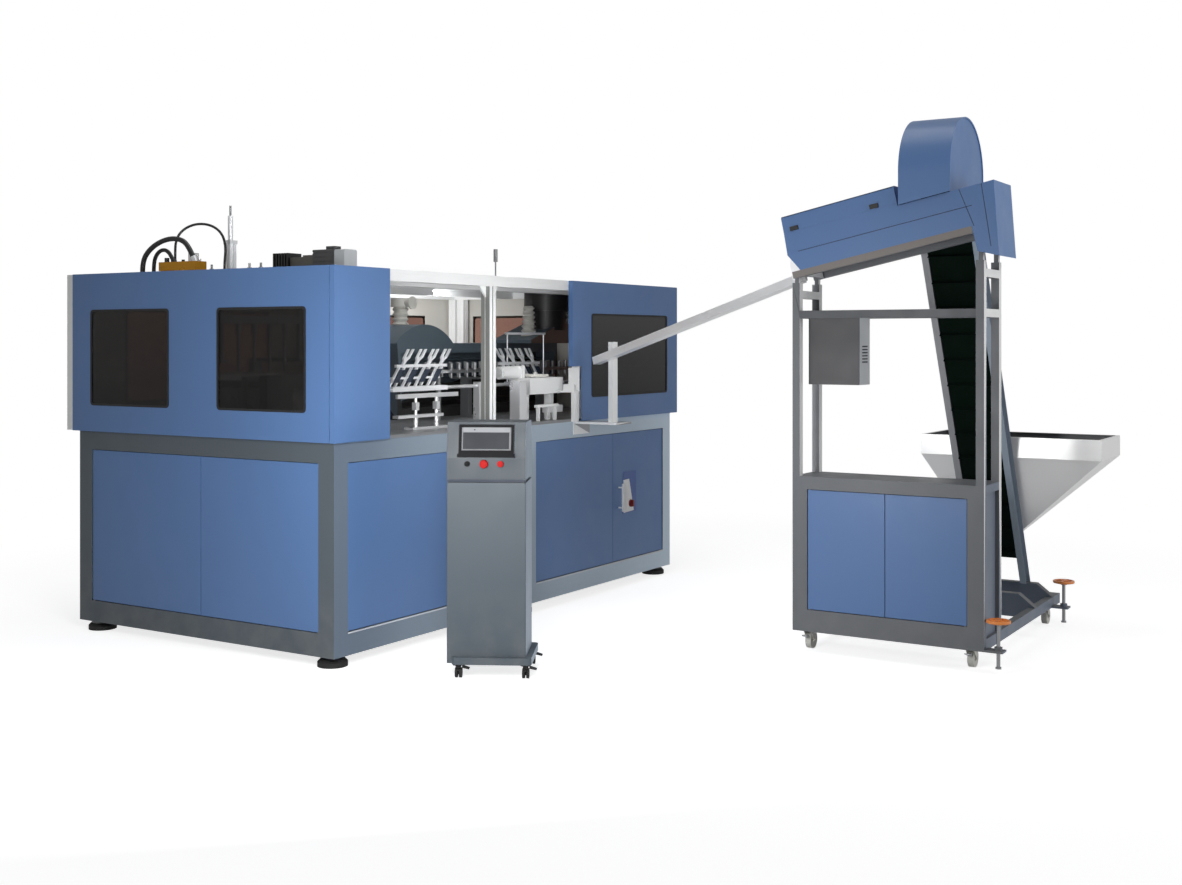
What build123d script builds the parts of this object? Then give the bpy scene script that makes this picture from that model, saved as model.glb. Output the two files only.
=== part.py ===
from build123d import *

import os
from math import atan2, cos, degrees, hypot, radians, sin, tan

# A two-stage blow moulding machine with its control stand and its preform feeder.
# Millimetres. X runs along the operator's side of the machine, Y runs back from that side,
# Z is up, and the origin is on the floor below the middle of the whole line.
# Lengths are given from the machine's front left corner, and place() moves them to the origin.

# Machine base
base_length = 3390.0
base_width = 1867.0
foot_height = 55.0
base_top = 1100.0
post_width = 100.0
rail_depth = 60.0
sill_top = 170.0
rail_bottom = 1000.0
middle_post_left = 1640.0
middle_post_right = 1744.0
table_thickness = 15.0
foot_radius = 75.0
foot_inset = 85.0

# Doors and panels in the base
door_gap = 3.5
door_recess = 5.0
door_depth = 25.0
sheet = 2.0
pivot_inset = 7.0
pivot_radius = 4.0
pivot_collar = 8.0
pivot_length = 6.0
running = 0.05
front_left_split = 990.0
front_right_split = base_length - 756.0
end_split = 920.0
switch_x = -131.0
handle_x = -253.0

# Upper guards
guard_left = 30.0
guard_front = 30.0
guard_rear = 24.0
guard_right = 50.0
guard_bottom = 1102.0
guard_top = 1963.0
front_left_end = 383.0
front_right_start = 2100.0
notch_width = 100.0
notch_top = 1440.0
window_bottom = 1250.0
window_top = 1765.0
window_radius = 18.0
pane_thickness = 5.0
pane_lap = 15.0
seam = 4.0

# White guard frame
extrusion = 60.0
groove_width = 8.0
groove_depth = 6.0
centre_post_x = 1280.0
gusset = 62.0
deck_thickness = 8.0
deck_length = 860.0

# Clamp, moulds and stretching
cavity_count = 4
cavity_pitch = 115.0
cavity_first_x = 250.0
parting_y = 900.0
mould_opening = 60.0
mould_gap = 0.3
mould_depth = 120.0
mould_height = 215.0
carrier_thickness = 40.0
clamp_left = 90.0
clamp_right = 760.0
clamp_platen = 60.0
clamp_front = 560.0
clamp_rear = 1240.0
clamp_top = 1420.0
guide_left = 130.0
guide_right = 712.0
tie_radius = 20.0
stretch_x = 450.0
stretch_y = 1170.0
stretch_travel = 230.0

# Transfer
rail_y = 300.0
rail_z = 1331.0
rail_radius = 10.0
gripper_pitch_left = 112.0
gripper_pitch_right = 105.0
gripper_lean = 0.8
gripper_height = 206.0
carriage_left_x = 780.0
carriage_right_x = 1927.0
carriage_length = 480.0

# Oven
oven_left = 1500.0
oven_right = 3270.0
oven_front = 850.0
oven_rear = 1450.0
oven_top = 1580.0
hood_front = 590.0
hood_rise = 136.0
hood_y = 700.0
chain_y = 690.0
chain_radius = 90.0
chain_left = 1700.0
chain_right = 3060.0
chain_z = 1400.0
chain_thickness = 16.0
mandrel_radius = 12.0
mandrel_pitch = 80.0

# Preform feeder
feeder_front = 1592.0
feeder_depth = 298.0
feeder_near = -1700.0
feeder_far = -2691.0
tube = 40.0
feeder_floor = 105.0
base_rail_height = 55.0
base_reach = 3050.0
cabinet_top = 900.0
cabinet_door_bottom = 217.0
cabinet_door_top = 835.0
mid_beam_z = 1712.0
near_post_top = 1895.0
far_post_top = 1985.0
caster_radius = 45.0
hopper_reach = 3020.0
hopper_near = -2040.0
hopper_right = 3080.0
hopper_rim_bottom = 960.0
hopper_rim_top = 1070.0
hopper_throat_z = 520.0

# Sorting head, tilted down towards the machine
head_tilt = 12.0
head_y = -2720.0
head_z = 2167.0
head_length = 993.0
head_left = 1580.0
head_width = 300.0
head_height = 190.0
lid_start = 425.0
lid_end = 1043.0
lid_height = 88.0
lid_gap = 0.4
hinge_radius = 6.0
hinge_pin = 3.0
hinge_offset = 6.4
head_rail_height = 35.0
head_rail_width = 30.0
roller_radius = 40.0
roller_spacing = 112.0
roller_w = 95.0
shaft_radius = 10.0

# Arch hood
arch_radius = 280.0
arch_centre_x = 1840.0
arch_centre_z = 2434.0
arch_near = -2275.0
arch_width = 260.0

# Elevator
elevator_angle = 63.9
elevator_foot_x = 2800.0
elevator_foot_z = 394.0
elevator_near = -2282.0
elevator_inner = 240.0
web = 4.0
channel_depth = 80.0
channel_flange = 31.0
drum_radius = 30.0
drum_lift = 2169.0
belt_thickness = 4.0
belt_gap = 0.3
cleat_height = 28.0
cleat_pitch = 150.0

# Chute
chute_width = 60.0
chute_height = 45.0
chute_top = (1715.0, -1706.0, 1903.0)
chute_end = (2188.0, -150.0, 1452.0)
chute_post_share = 0.945

# Control stand
stand_x = 416.5
stand_y = -663.0
stand_turn = 28.6
stand_width = 377.0
stand_depth = 290.0
stand_offset = -28.0
stand_floor = 68.0
console_bottom = 940.0
console_break = 1040.0
neck_height = 16.0
console_top = 1210.0
console_lean = 32.0
stand_caster_x = 160.0
stand_caster_y = 150.0
button_z = 1014.0

# Where the machine's front left corner lies from the middle of the whole line
machine_left = -(base_length + guard_right - guard_left) / 2
machine_front = (hopper_reach - base_width - guard_rear) / 2

SIDES = {
    "front": ((1, 0, 0), (0, -1, 0)),
    "rear": ((-1, 0, 0), (0, 1, 0)),
    "left": ((0, -1, 0), (-1, 0, 0)),
    "right": ((0, 1, 0), (1, 0, 0)),
}


def place(x, y, z=0.0):
    """A point given from the machine's front left corner at floor level."""
    return Vector(machine_left + x, machine_front + y, z)


def upright(x, y, z, side):
    """A standing plane that faces out of one side, with its own Y up."""
    x_dir, z_dir = SIDES[side]
    return Plane(origin=place(x, y, z), x_dir=x_dir, z_dir=z_dir)


def block(x0, x1, y0, y1, z0, z1, mode=Mode.ADD):
    """A straight-sided block between two corners."""
    with BuildSketch(Plane(place((x0 + x1) / 2, (y0 + y1) / 2, z0))) as outline:
        Rectangle(x1 - x0, y1 - y0)
    extrude(outline.sketch, amount=z1 - z0, mode=mode)


def rod(start, end, radius, mode=Mode.ADD):
    """A round bar between two points."""
    base = place(*start)
    run = place(*end) - base
    with BuildSketch(Plane(origin=base, z_dir=run)) as section:
        Circle(radius)
    extrude(section.sketch, amount=run.length, mode=mode)


def profile(plane, points, amount, both=False, mode=Mode.ADD):
    """A closed outline with straight sides, extruded from its plane."""
    with BuildSketch(plane) as outline:
        with BuildLine():
            Polyline(*points, close=True)
        make_face()
    extrude(outline.sketch, amount=amount, both=both, mode=mode)


def slotted_bar(start, end, x_dir):
    """A square aluminium extrusion with a groove along each face."""
    base = place(*start)
    run = place(*end) - base
    half = extrusion / 2
    with BuildSketch(Plane(origin=base, x_dir=x_dir, z_dir=run)) as section:
        Rectangle(extrusion, extrusion)
        with PolarLocations(half - groove_depth / 2, 4):
            Rectangle(groove_depth, groove_width, mode=Mode.SUBTRACT)
    extrude(section.sketch, amount=run.length)


def pan(face, width, height, depth, openings=()):
    """A folded sheet pan: a flat face with four edges returned behind it."""
    with BuildSketch(face) as outer:
        Rectangle(width, height)
    extrude(outer.sketch, amount=-depth)
    with BuildSketch(face.offset(-sheet)) as inner:
        Rectangle(width - 2 * sheet, height - 2 * sheet)
    extrude(inner.sketch, amount=sheet - depth, mode=Mode.SUBTRACT)
    for across, up, wide, high in openings:
        with BuildSketch(face) as opening:
            with Locations((across, up)):
                RectangleRounded(wide, high, window_radius)
        extrude(opening.sketch, amount=-sheet, mode=Mode.SUBTRACT)


def save(builder, name):
    """Label a finished piece and write it out under the same name."""
    builder.part.label = name
    export_step(builder.part, f"parts/{name}.step")


# Machine base

def make_base_frame():
    with BuildPart() as frame:
        right_post = base_length - post_width
        rear_post = base_width - post_width
        rear_rail = base_width - rail_depth
        for x in (0, right_post):
            for y in (0, rear_post):
                block(x, x + post_width, y, y + post_width, foot_height, base_top)
        for y in (0, rear_rail):
            block(middle_post_left, middle_post_right, y, y + rail_depth, foot_height, base_top)
            block(post_width, right_post, y, y + rail_depth, foot_height, sill_top)
            block(post_width, right_post, y, y + rail_depth, rail_bottom, base_top)
        for x in (0, base_length - rail_depth):
            block(x, x + rail_depth, post_width, rear_post, foot_height, sill_top)
            block(x, x + rail_depth, post_width, rear_post, rail_bottom, base_top)
        block(middle_post_left, middle_post_right, rail_depth, rear_rail, foot_height, sill_top)
        for share in (0.25, 0.5, 0.75):
            x = base_length * share - rail_depth / 2
            block(x, x + rail_depth, rail_depth, rear_rail, base_top - rail_depth, base_top)
    save(frame, "base_frame")


def make_table_plate():
    with BuildPart() as plate:
        block(0, base_length, 0, base_width, base_top, base_top + table_thickness)
        with BuildSketch(Plane(place(parting_cut_x(), parting_y, base_top))) as drop:
            SlotCenterToCenter(cavity_pitch * cavity_count, 130)
        extrude(drop.sketch, amount=table_thickness, mode=Mode.SUBTRACT)
    save(plate, "table_plate")


def parting_cut_x():
    """The middle of the row of cavities."""
    return cavity_first_x + cavity_pitch * (cavity_count - 1) / 2


def make_levelling_feet():
    stem_radius = 14.0
    pad_height = 38.0
    with BuildPart() as feet:
        for x in (foot_inset, base_length / 2, base_length - foot_inset):
            for y in (foot_inset, base_width - foot_inset):
                with BuildSketch(Plane(origin=place(x, y), x_dir=(1, 0, 0), z_dir=(0, -1, 0))) as half:
                    with BuildLine():
                        Polyline((0, 0), (foot_radius, 0), (foot_radius, pad_height * 0.6),
                                 (foot_radius * 0.8, pad_height), (stem_radius, pad_height),
                                 (stem_radius, foot_height), (0, foot_height), close=True)
                    make_face()
                revolve(half.sketch, axis=Axis(place(x, y), (0, 0, 1)))
    save(feet, "levelling_feet")


def base_openings():
    """Side, start and end of each opening in the base, on the sides with doors and without."""
    right_end = base_length - post_width
    rear_end = base_width - post_width
    doors = [
        ("front", post_width, middle_post_left, front_left_split),
        ("front", middle_post_right, right_end, front_right_split),
        ("left", post_width, rear_end, end_split),
    ]
    panels = [
        ("rear", post_width, middle_post_left),
        ("rear", middle_post_right, right_end),
        ("right", post_width, rear_end),
    ]
    return doors, panels


def pivot_point(side, along, inset, front_x):
    """The plan place of a point that lies behind the face of one side."""
    if side == "front":
        return along, inset
    return front_x + inset, along


def make_door(name, side, start, end, hinge_low, bottom, top, front_x=0.0, extra=None):
    """A sheet pan door that turns on two pins near one of its edges."""
    middle_x, middle_y = pivot_point(side, (start + end) / 2, door_recess, front_x)
    face = upright(middle_x, middle_y, (bottom + top) / 2, side)
    along = start + pivot_inset if hinge_low else end - pivot_inset
    pin_x, pin_y = pivot_point(side, along, door_recess + pivot_inset, front_x)
    with BuildPart() as door:
        pan(face, end - start, top - bottom, door_depth)
        rod((pin_x, pin_y, bottom), (pin_x, pin_y, top), pivot_radius + running, mode=Mode.SUBTRACT)
        if extra:
            extra(face)
    save(door, name)
    return pin_x, pin_y


def switch_and_handle(face):
    """The pull handle, and the plate that the main switch turns on."""
    with BuildSketch(face) as plate:
        with Locations((switch_x, 0)):
            RectangleRounded(145, 235, 8)
    extrude(plate.sketch, amount=3)
    with BuildSketch(face) as feet:
        with Locations((handle_x, -70), (handle_x, 60)):
            Circle(5)
    extrude(feet.sketch, amount=28)
    with BuildSketch(face.offset(28)) as grip:
        with Locations((handle_x, -5)):
            SlotOverall(182, 14, rotation=90)
    extrude(grip.sketch, amount=10)


def end_of_front():
    """Where the last front opening ends, from the machine's left end."""
    return base_length - post_width


def make_doors():
    """All doors of the base and of the feeder's cabinet, and the pins that they turn on."""
    bottom = sill_top + door_gap
    top = rail_bottom - door_gap
    doors, _ = base_openings()
    names = [("front_door_1", "front_door_2"), ("front_door_3", "front_door_4"),
             ("end_door_front", "end_door_rear")]
    pins = []
    for (side, start, end, split), (low_name, high_name) in zip(doors, names):
        extra = switch_and_handle if high_name == "front_door_4" else None
        low = make_door(low_name, side, start + door_gap, split - sheet, True, bottom, top)
        high = make_door(high_name, side, split + sheet, end - door_gap, False, bottom, top, extra=extra)
        pins += [(low, sill_top, rail_bottom), (high, sill_top, rail_bottom)]
    far, near = feeder_door_limits()
    split = (far + near) / 2
    bottom = cabinet_door_bottom + door_gap
    top = cabinet_door_top - door_gap
    low = make_door("feeder_door_far", "left", far + door_gap, split - sheet, True, bottom, top,
                    front_x=feeder_front)
    high = make_door("feeder_door_near", "left", split + sheet, near - door_gap, False, bottom, top,
                     front_x=feeder_front)
    pins += [(low, cabinet_door_bottom, cabinet_door_top), (high, cabinet_door_bottom, cabinet_door_top)]
    with BuildPart() as pivots:
        for (x, y), low_z, high_z in pins:
            collar_top = low_z + door_gap - sheet / 4
            rod((x, y, low_z), (x, y, collar_top), pivot_collar - 1)
            rod((x, y, collar_top), (x, y, low_z + door_gap + pivot_length), pivot_radius)
            rod((x, y, high_z - door_gap - pivot_length), (x, y, high_z), pivot_radius)
    save(pivots, "door_pivots")


# Upper guards and their frame

def make_guard_frame():
    floor = base_top + table_thickness
    half = extrusion / 2
    beam_z = guard_top - half
    right = base_length - half
    rear = base_width - half
    with BuildPart() as frame:
        for x in (half, right):
            for y in (half, rear):
                slotted_bar((x, y, floor), (x, y, guard_top), (1, 0, 0))
        for y in (half, rear):
            slotted_bar((extrusion, y, beam_z), (base_length - extrusion, y, beam_z), (0, 1, 0))
        for x in (half, right):
            slotted_bar((x, extrusion, beam_z), (x, base_width - extrusion, beam_z), (1, 0, 0))
        for y in (440, base_width * 0.7):
            slotted_bar((extrusion, y, beam_z), (base_length - extrusion, y, beam_z), (0, 1, 0))
        post_x = centre_post_x + half
        slotted_bar((post_x, half, floor), (post_x, half, guard_top - extrusion), (1, 0, 0))
        hidden_x = front_right_start + notch_width + extrusion
        slotted_bar((hidden_x, half, floor), (hidden_x, half, guard_top - extrusion), (1, 0, 0))
        inner_y = rear - extrusion - 18
        slotted_bar((right, inner_y, floor), (right, inner_y, guard_top - extrusion), (1, 0, 0))
        for sign in (-1, 1):
            edge = post_x + sign * half
            corner = upright(edge, half, guard_top - extrusion, "front")
            profile(corner, [(0, 0), (sign * gusset, 0), (0, -gusset)], 5, both=True)
        block(extrusion, deck_length, extrusion, base_width - extrusion,
              guard_top - deck_thickness, guard_top)
        block(2500, base_length - extrusion, extrusion, base_width - extrusion,
              guard_top - deck_thickness, guard_top)
        cut_deck_hole()
        add_roof_fittings()
    save(frame, "guard_frame")


def guard_window_list():
    """Each window: the guard's side, its middle along that side, its width, and its two heights."""
    return {
        "left": [(460.0, 600.0), (1430.0, 606.0)],
        "front": [(2806.5, 965.0)],
        "rear": [(900.0, 1100.0), (2500.0, 1100.0)],
        "right": [(470.0, 600.0), (1400.0, 600.0)],
    }


def make_guards():
    height = guard_top - guard_bottom
    middle_z = (guard_top + guard_bottom) / 2
    window_z = (window_top + window_bottom) / 2 - middle_z
    window_height = window_top - window_bottom
    windows = guard_window_list()

    with BuildPart() as left_end:
        start = seam
        end = base_width + guard_rear
        middle = (start + end) / 2
        pan(upright(-guard_left, middle, middle_z, "left"), end - start, height, guard_left,
            [(middle - at, window_z, wide, window_height) for at, wide in windows["left"]])
    save(left_end, "left_end_guard")

    with BuildPart() as left_corner:
        width = front_left_end + guard_left
        pan(upright(width / 2 - guard_left, -guard_front, middle_z, "front"), width, height, guard_front)
    save(left_corner, "left_corner_guard")

    with BuildPart() as right_front:
        end = base_length + guard_right
        middle = (front_right_start + end) / 2
        face = upright(middle, -guard_front, middle_z, "front")
        pan(face, end - front_right_start, height, guard_front,
            [(at - middle, window_z, wide, window_height) for at, wide in windows["front"]])
        block(front_right_start, front_right_start + notch_width, -guard_front, 0,
              guard_bottom, notch_top, mode=Mode.SUBTRACT)
        block(front_right_start, front_right_start + 2 * notch_width, -guard_front - 6, -guard_front,
              notch_top, notch_top + 8)
    save(right_front, "right_front_guard")

    with BuildPart() as rear:
        start = 0.0
        end = base_length + guard_right
        middle = (start + end) / 2
        pan(upright(middle, base_width + guard_rear, middle_z, "rear"), end - start, height, guard_rear,
            [(middle - at, window_z, wide, window_height) for at, wide in windows["rear"]])
        middle = base_width / 2
        pan(upright(base_length + guard_right, middle, middle_z, "right"), base_width, height,
            guard_right, [(at - middle, window_z, wide, window_height) for at, wide in windows["right"]])
        _, panels = base_openings()
        low = sill_top + door_gap
        high = rail_bottom - door_gap
        for side, start, end in panels:
            middle = (start + end) / 2
            if side == "rear":
                face = upright(middle, base_width - door_recess, (low + high) / 2, side)
            else:
                face = upright(base_length - door_recess, middle, (low + high) / 2, side)
            pan(face, end - start, high - low + 2 * door_gap, door_depth)
    save(rear, "rear_panels")

    with BuildPart() as panes:
        high = window_height + 2 * pane_lap
        pane_z = (window_top + window_bottom) / 2
        for side, entries in windows.items():
            for at, wide in entries:
                face = {
                    "left": upright(-guard_left + sheet, at, pane_z, side),
                    "front": upright(at, -guard_front + sheet, pane_z, side),
                    "rear": upright(at, base_width + guard_rear - sheet, pane_z, side),
                    "right": upright(base_length + guard_right - sheet, at, pane_z, side),
                }[side]
                with BuildSketch(face) as pane:
                    Rectangle(wide + 2 * pane_lap, high)
                extrude(pane.sketch, amount=-pane_thickness)
    save(panes, "guard_windows")


# Clamp, moulds and the stretching gear

def make_clamp_frame():
    floor = base_top + table_thickness
    with BuildPart() as clamp:
        for y in (clamp_front, clamp_rear):
            middle = upright((clamp_left + clamp_right) / 2, y, (floor + clamp_top) / 2, "front")
            with BuildSketch(middle) as platen:
                RectangleRounded(clamp_right - clamp_left, clamp_top - floor, 20)
                with Locations((0, 20)):
                    RectangleRounded(300, 130, 15, mode=Mode.SUBTRACT)
            extrude(platen.sketch, amount=clamp_platen / 2, both=True)
        for x, z in tie_places():
            rod((x, clamp_front, z), (x, clamp_rear, z), tie_radius)
        for x in (guide_left, guide_right):
            rod((x, parting_y, clamp_top + 60), (x, parting_y, guard_top - deck_thickness), 14)
            block(x - 25, x + 25, clamp_rear - clamp_platen / 2, clamp_rear + clamp_platen / 2,
                  clamp_top, clamp_top + 60)
            block(x - 25, x + 25, parting_y - 25, clamp_rear + clamp_platen / 2,
                  clamp_top + 60, clamp_top + 80)
            rod((x, parting_y, clamp_top + 60), (x, parting_y, clamp_top + 80), 14)
    save(clamp, "clamp_frame")


def tie_places():
    """The four bars that the mould carriers slide on."""
    return [(x, z) for x in (clamp_left + 40, clamp_right - 40) for z in (1165.0, 1370.0)]


def make_mould_half(name, sign):
    """One half of the mould on its carrier, at its open place."""
    floor = base_top + table_thickness
    face_y = parting_y + sign * mould_opening
    back_y = face_y + sign * mould_depth
    carrier_y = back_y + sign * carrier_thickness
    mould_left = cavity_first_x - cavity_pitch * 0.55
    mould_right = cavity_first_x + cavity_pitch * (cavity_count - 0.45)
    low = floor + 20
    with BuildPart() as half:
        block(mould_left, mould_right, min(face_y, back_y), max(face_y, back_y), low, low + mould_height)
        block(clamp_left + 5, clamp_right - 5, min(back_y, carrier_y), max(back_y, carrier_y),
              floor + 8, clamp_top - 8)
        for x, z in tie_places():
            rod((x, min(back_y, carrier_y), z), (x, max(back_y, carrier_y), z),
                tie_radius + running, mode=Mode.SUBTRACT)
        for index in range(cavity_count):
            x = cavity_first_x + cavity_pitch * index
            bottle = Plane(origin=place(x, face_y, low), x_dir=(1, 0, 0), z_dir=(0, -1, 0))
            with BuildSketch(bottle) as outline:
                with BuildLine():
                    Polyline((0, 25), (34, 25), (36, 35), (36, 125))
                    ThreePointArc((36, 125), (30, 150), (15, 172))
                    Polyline((15, 172), (15, mould_height), (0, mould_height), (0, 25))
                make_face()
            revolve(outline.sketch, axis=Axis(place(x, face_y, low), (0, 0, 1)), mode=Mode.SUBTRACT)
    save(half, name)


def make_stretch_gear():
    deck = guard_top
    with BuildPart() as cylinder:
        block(stretch_x - 30, stretch_x + 30, stretch_y - 30, stretch_y + 30, deck, deck + 22)
        rod((stretch_x, stretch_y, deck + 22), (stretch_x, stretch_y, deck + 170), 23)
        block(stretch_x - 27, stretch_x + 27, stretch_y - 27, stretch_y + 27, deck + 170, deck + 190)
        for dx in (-20, 20):
            for dy in (-20, 20):
                rod((stretch_x + dx, stretch_y + dy, deck + 22),
                    (stretch_x + dx, stretch_y + dy, deck + 170), 4)
        rod((stretch_x, stretch_y, deck + 190), (stretch_x, stretch_y, deck + 327), 14)
        rod((stretch_x, stretch_y, deck), (stretch_x, stretch_y, deck + 327),
            6 + running, mode=Mode.SUBTRACT)
    save(cylinder, "stretch_cylinder")

    beam_z = 1690.0
    with BuildPart() as crosshead:
        block(guide_left - 28, guide_right + 28, parting_y - 25, parting_y + 25, beam_z, beam_z + 40)
        block(stretch_x - 20, stretch_x + 20, parting_y + 25, stretch_y + 20, beam_z, beam_z + 30)
        for x in (guide_left, guide_right):
            rod((x, parting_y, beam_z), (x, parting_y, beam_z + 40), 14 + running, mode=Mode.SUBTRACT)
        for index in range(cavity_count):
            x = cavity_first_x + cavity_pitch * index
            rod((x, parting_y, beam_z - 60), (x, parting_y, beam_z), 17)
            rod((x, parting_y, beam_z - 260), (x, parting_y, beam_z - 60), 9)
        rod((stretch_x, stretch_y, beam_z + 30), (stretch_x, stretch_y, deck + 383), 6)
    save(crosshead, "stretch_crosshead")


def cut_deck_hole():
    """The round hole in the roof that the stretch rod passes through."""
    rod((stretch_x, stretch_y, guard_top - deck_thickness), (stretch_x, stretch_y, guard_top),
        12, mode=Mode.SUBTRACT)


# Roof equipment

def make_valve_block():
    deck = guard_top
    left, right, front, rear = 205.0, 285.0, 1180.0, 1468.0
    body_bottom = deck + 18
    body_top = deck + 66
    with BuildPart() as manifold:
        block(left, right, front, rear, body_bottom, body_top)
        for y in (front + 15, rear - 45):
            block(left + 8, right - 8, y, y + 30, deck, body_bottom)
        for index in range(4):
            y = front + 32 + index * 64
            rod((right - 20, y, body_top), (right - 20, y, body_top + 14), 9)
        rod((230, 1200, 2013), (230, 1224, 2053), 16)
        rod((232, 1368.4, 2013), (232, 1383.4, 2038), 13)
        rod((left + 25, rear - 38, body_top), (left + 25, rear - 38, body_top + 24), 13)
        block(left + 45, right + 10, front + 70, front + 105, body_top, body_top + 48)
    save(manifold, "valve_block")


def make_top_motor():
    """The servo drive on the roof: a square motor, its coupling housing and a finned gearbox."""
    deck = guard_top
    x0, y0 = 455.0, 345.0
    middle = x0 + 55
    with BuildPart() as motor:
        block(x0 - 5, x0 + 115, y0 + 20, y0 + 510, deck, deck + 14)
        with BuildSketch(upright(middle, y0, deck + 66, "rear")) as cap:
            RectangleRounded(100, 100, 12)
        extrude(cap.sketch, amount=70)
        with BuildSketch(upright(middle, y0 + 70, deck + 66, "rear")) as case:
            RectangleRounded(108, 104, 6)
            with Locations(*[(x, y) for x in (-54, 54) for y in (-36, -12, 12, 36)]):
                Rectangle(8, 8, mode=Mode.SUBTRACT)
        extrude(case.sketch, amount=150)
        block(x0 + 12, x0 + 98, y0 + 220, y0 + 300, deck + 14, deck + 92)
        block(x0 + 20, x0 + 90, y0 + 300, y0 + 400, deck + 14, deck + 84)
        for index in range(6):
            y = y0 + 400 + index * 20
            block(x0 + 2, x0 + 108, y, y + 10, deck + 14, deck + 108)
        block(x0 + 14, x0 + 96, y0 + 400, y0 + 510, deck + 14, deck + 96)
        block(x0 + 30, x0 + 80, y0 + 90, y0 + 150, deck + 118, deck + 136)
    save(motor, "top_motor")


def round_route(points):
    """Arc radii for a hose's corners: 0.45 of the shorter run over the half turn's tangent."""
    radii = []
    for before, corner, after in zip(points, points[1:], points[2:]):
        into = Vector(*corner) - Vector(*before)
        out = Vector(*after) - Vector(*corner)
        half_turn = radians(into.get_angle(out)) / 2
        radii.append(0.45 * min(into.length, out.length) / tan(half_turn))
    return radii


HOSES = {
    "air_hose_1": (14.0, [(200, 1592, 1979), (200, 1592, 2040), (206, 1546, 2100), (213, 1470, 2142),
                          (220, 1382, 2160), (227, 1300, 2147), (230, 1254, 2103), (230, 1224, 2053)]),
    "air_hose_2": (11.0, [(256, 1566, 1979), (256, 1566, 2029), (250, 1541, 2072), (244, 1498, 2098),
                          (238, 1448, 2099), (232, 1405, 2074), (232, 1383.4, 2038)]),
    "air_line": (7.0, [(265, 1404, 2043), (265, 1404, 2090), (275, 1412, 2142), (292, 1404, 2188),
                       (314, 1376, 2222), (340, 1330, 2243), (366, 1276, 2244), (388, 1226, 2226),
                       (402, 1188, 2190), (407, 1168, 2144), (408, 1163, 2092), (408, 1172, 2030),
                       (408, 1172, 1979)]),
}


def make_hoses():
    for name, (radius, points) in HOSES.items():
        radii = round_route(points)
        with BuildPart() as hose:
            with BuildLine() as path:
                FilletPolyline(*[place(*point) for point in points], radius=radii)
            with BuildSketch(Plane(origin=path.wire() @ 0, z_dir=path.wire() % 0)):
                Circle(radius)
            sweep()
        length = path.wire().length
        print(name, "length", round(length, 1), "radii", [round(r) for r in radii],
              "volume share", round(hose.part.volume / (3.14159265 * radius ** 2 * length), 4))
        save(hose, name)


def add_roof_fittings():
    """Hose glands, small valves and the spindle that stand on the roof."""
    deck = guard_top
    for x, y, radius in ((200, 1592, 17), (256, 1566, 17), (408, 1172, 10)):
        rod((x, y, deck), (x, y, deck + 16), radius)
    for x, y in ((100, 667), (100, 586), (100, 942)):
        rod((x, y, deck), (x, y, deck + 12), 11)
        rod((x, y, deck + 12), (x, y, deck + 34), 6)
    x, y = 2590.0, 900.0
    rod((x, y, deck), (x, y, deck + 16), 20)
    rod((x, y, deck + 16), (x, y, deck + 165), 5)
    rod((x, y, deck + 165), (x, y, deck + 250), 14)


# Transfer and infeed

def gripper(x, y, z, lean):
    """One leaning gripper: two arms, a valve body and a forked head, sheared sideways by lean."""
    face = upright(x, y, z, "front")

    def leaning(points, half_depth):
        profile(face, [(across + lean * up, up) for across, up in points], half_depth, both=True)

    for side in (-24, 24):
        leaning([(side - 6, 0), (side + 6, 0), (side + 6, 105), (side - 6, 105)], 7)
    leaning([(-19, 22), (19, 22), (19, 92), (-19, 92)], 17)
    fork = [(9, 121), (12, 140), (27, 156), (27, gripper_height), (15, gripper_height), (13, 166)]
    leaning(fork + [(0, 154)] + [(-across, up) for across, up in reversed(fork)], 6)


def make_carriage(name, left, pitch, lean, top_bar):
    """A row of four grippers on a bar that slides along the transfer rod."""
    bar_top = rail_z + 13
    with BuildPart() as carriage:
        block(left, left + carriage_length, rail_y - 20, rail_y + 60, rail_z - 13, bar_top)
        rod((left, rail_y, rail_z), (left + carriage_length, rail_y, rail_z),
            rail_radius + running, mode=Mode.SUBTRACT)
        first = left + (carriage_length - 3 * pitch) / 2 - 16
        for index in range(4):
            gripper(first + pitch * index, rail_y + 38, bar_top, lean)
        for low, high, reach in ((40, 52, 40), (105, 121, 56)):
            x = first + lean * (low + high) / 2
            block(x - reach, x + 3 * pitch + reach, rail_y + 29, rail_y + 47, bar_top + low, bar_top + high)
        if top_bar:
            for offset in (20, carriage_length - 60):
                x = left + offset
                rod((x, rail_y + 50, bar_top), (x, rail_y + 50, bar_top + 290), 4)
            block(left + 10, left + carriage_length - 50, rail_y + 40, rail_y + 60,
                  bar_top + 290, bar_top + 304)
    save(carriage, name)


def make_transfer_rail():
    floor = base_top + table_thickness
    with BuildPart() as rail:
        rod((200, rail_y, rail_z), (2700, rail_y, rail_z), rail_radius)
        for x in (200, 1560, 2680):
            block(x, x + 40, rail_y - 22, rail_y + 22, floor, rail_z + 22)
        block(690, 1080, rail_y - 130, rail_y - 90, 1180, 1196)
        block(800, 1210, rail_y - 140, rail_y - 80, floor, floor + 14)
        for x in (860, 1040):
            rod((x, rail_y - 110, floor + 14), (x, rail_y - 110, 1180), 12)
            rod((x, rail_y - 110, 1196), (x, rail_y - 110, rail_z - 45), 9)
            block(x - 14, x + 14, rail_y - 124, rail_y - 96, 1220, 1262)
        block(700, 1230, rail_y - 118, rail_y - 102, rail_z - 45, rail_z - 22)
        block(1590, 1660, 10, 80, floor, 1361)
    save(rail, "transfer_rail")


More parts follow.
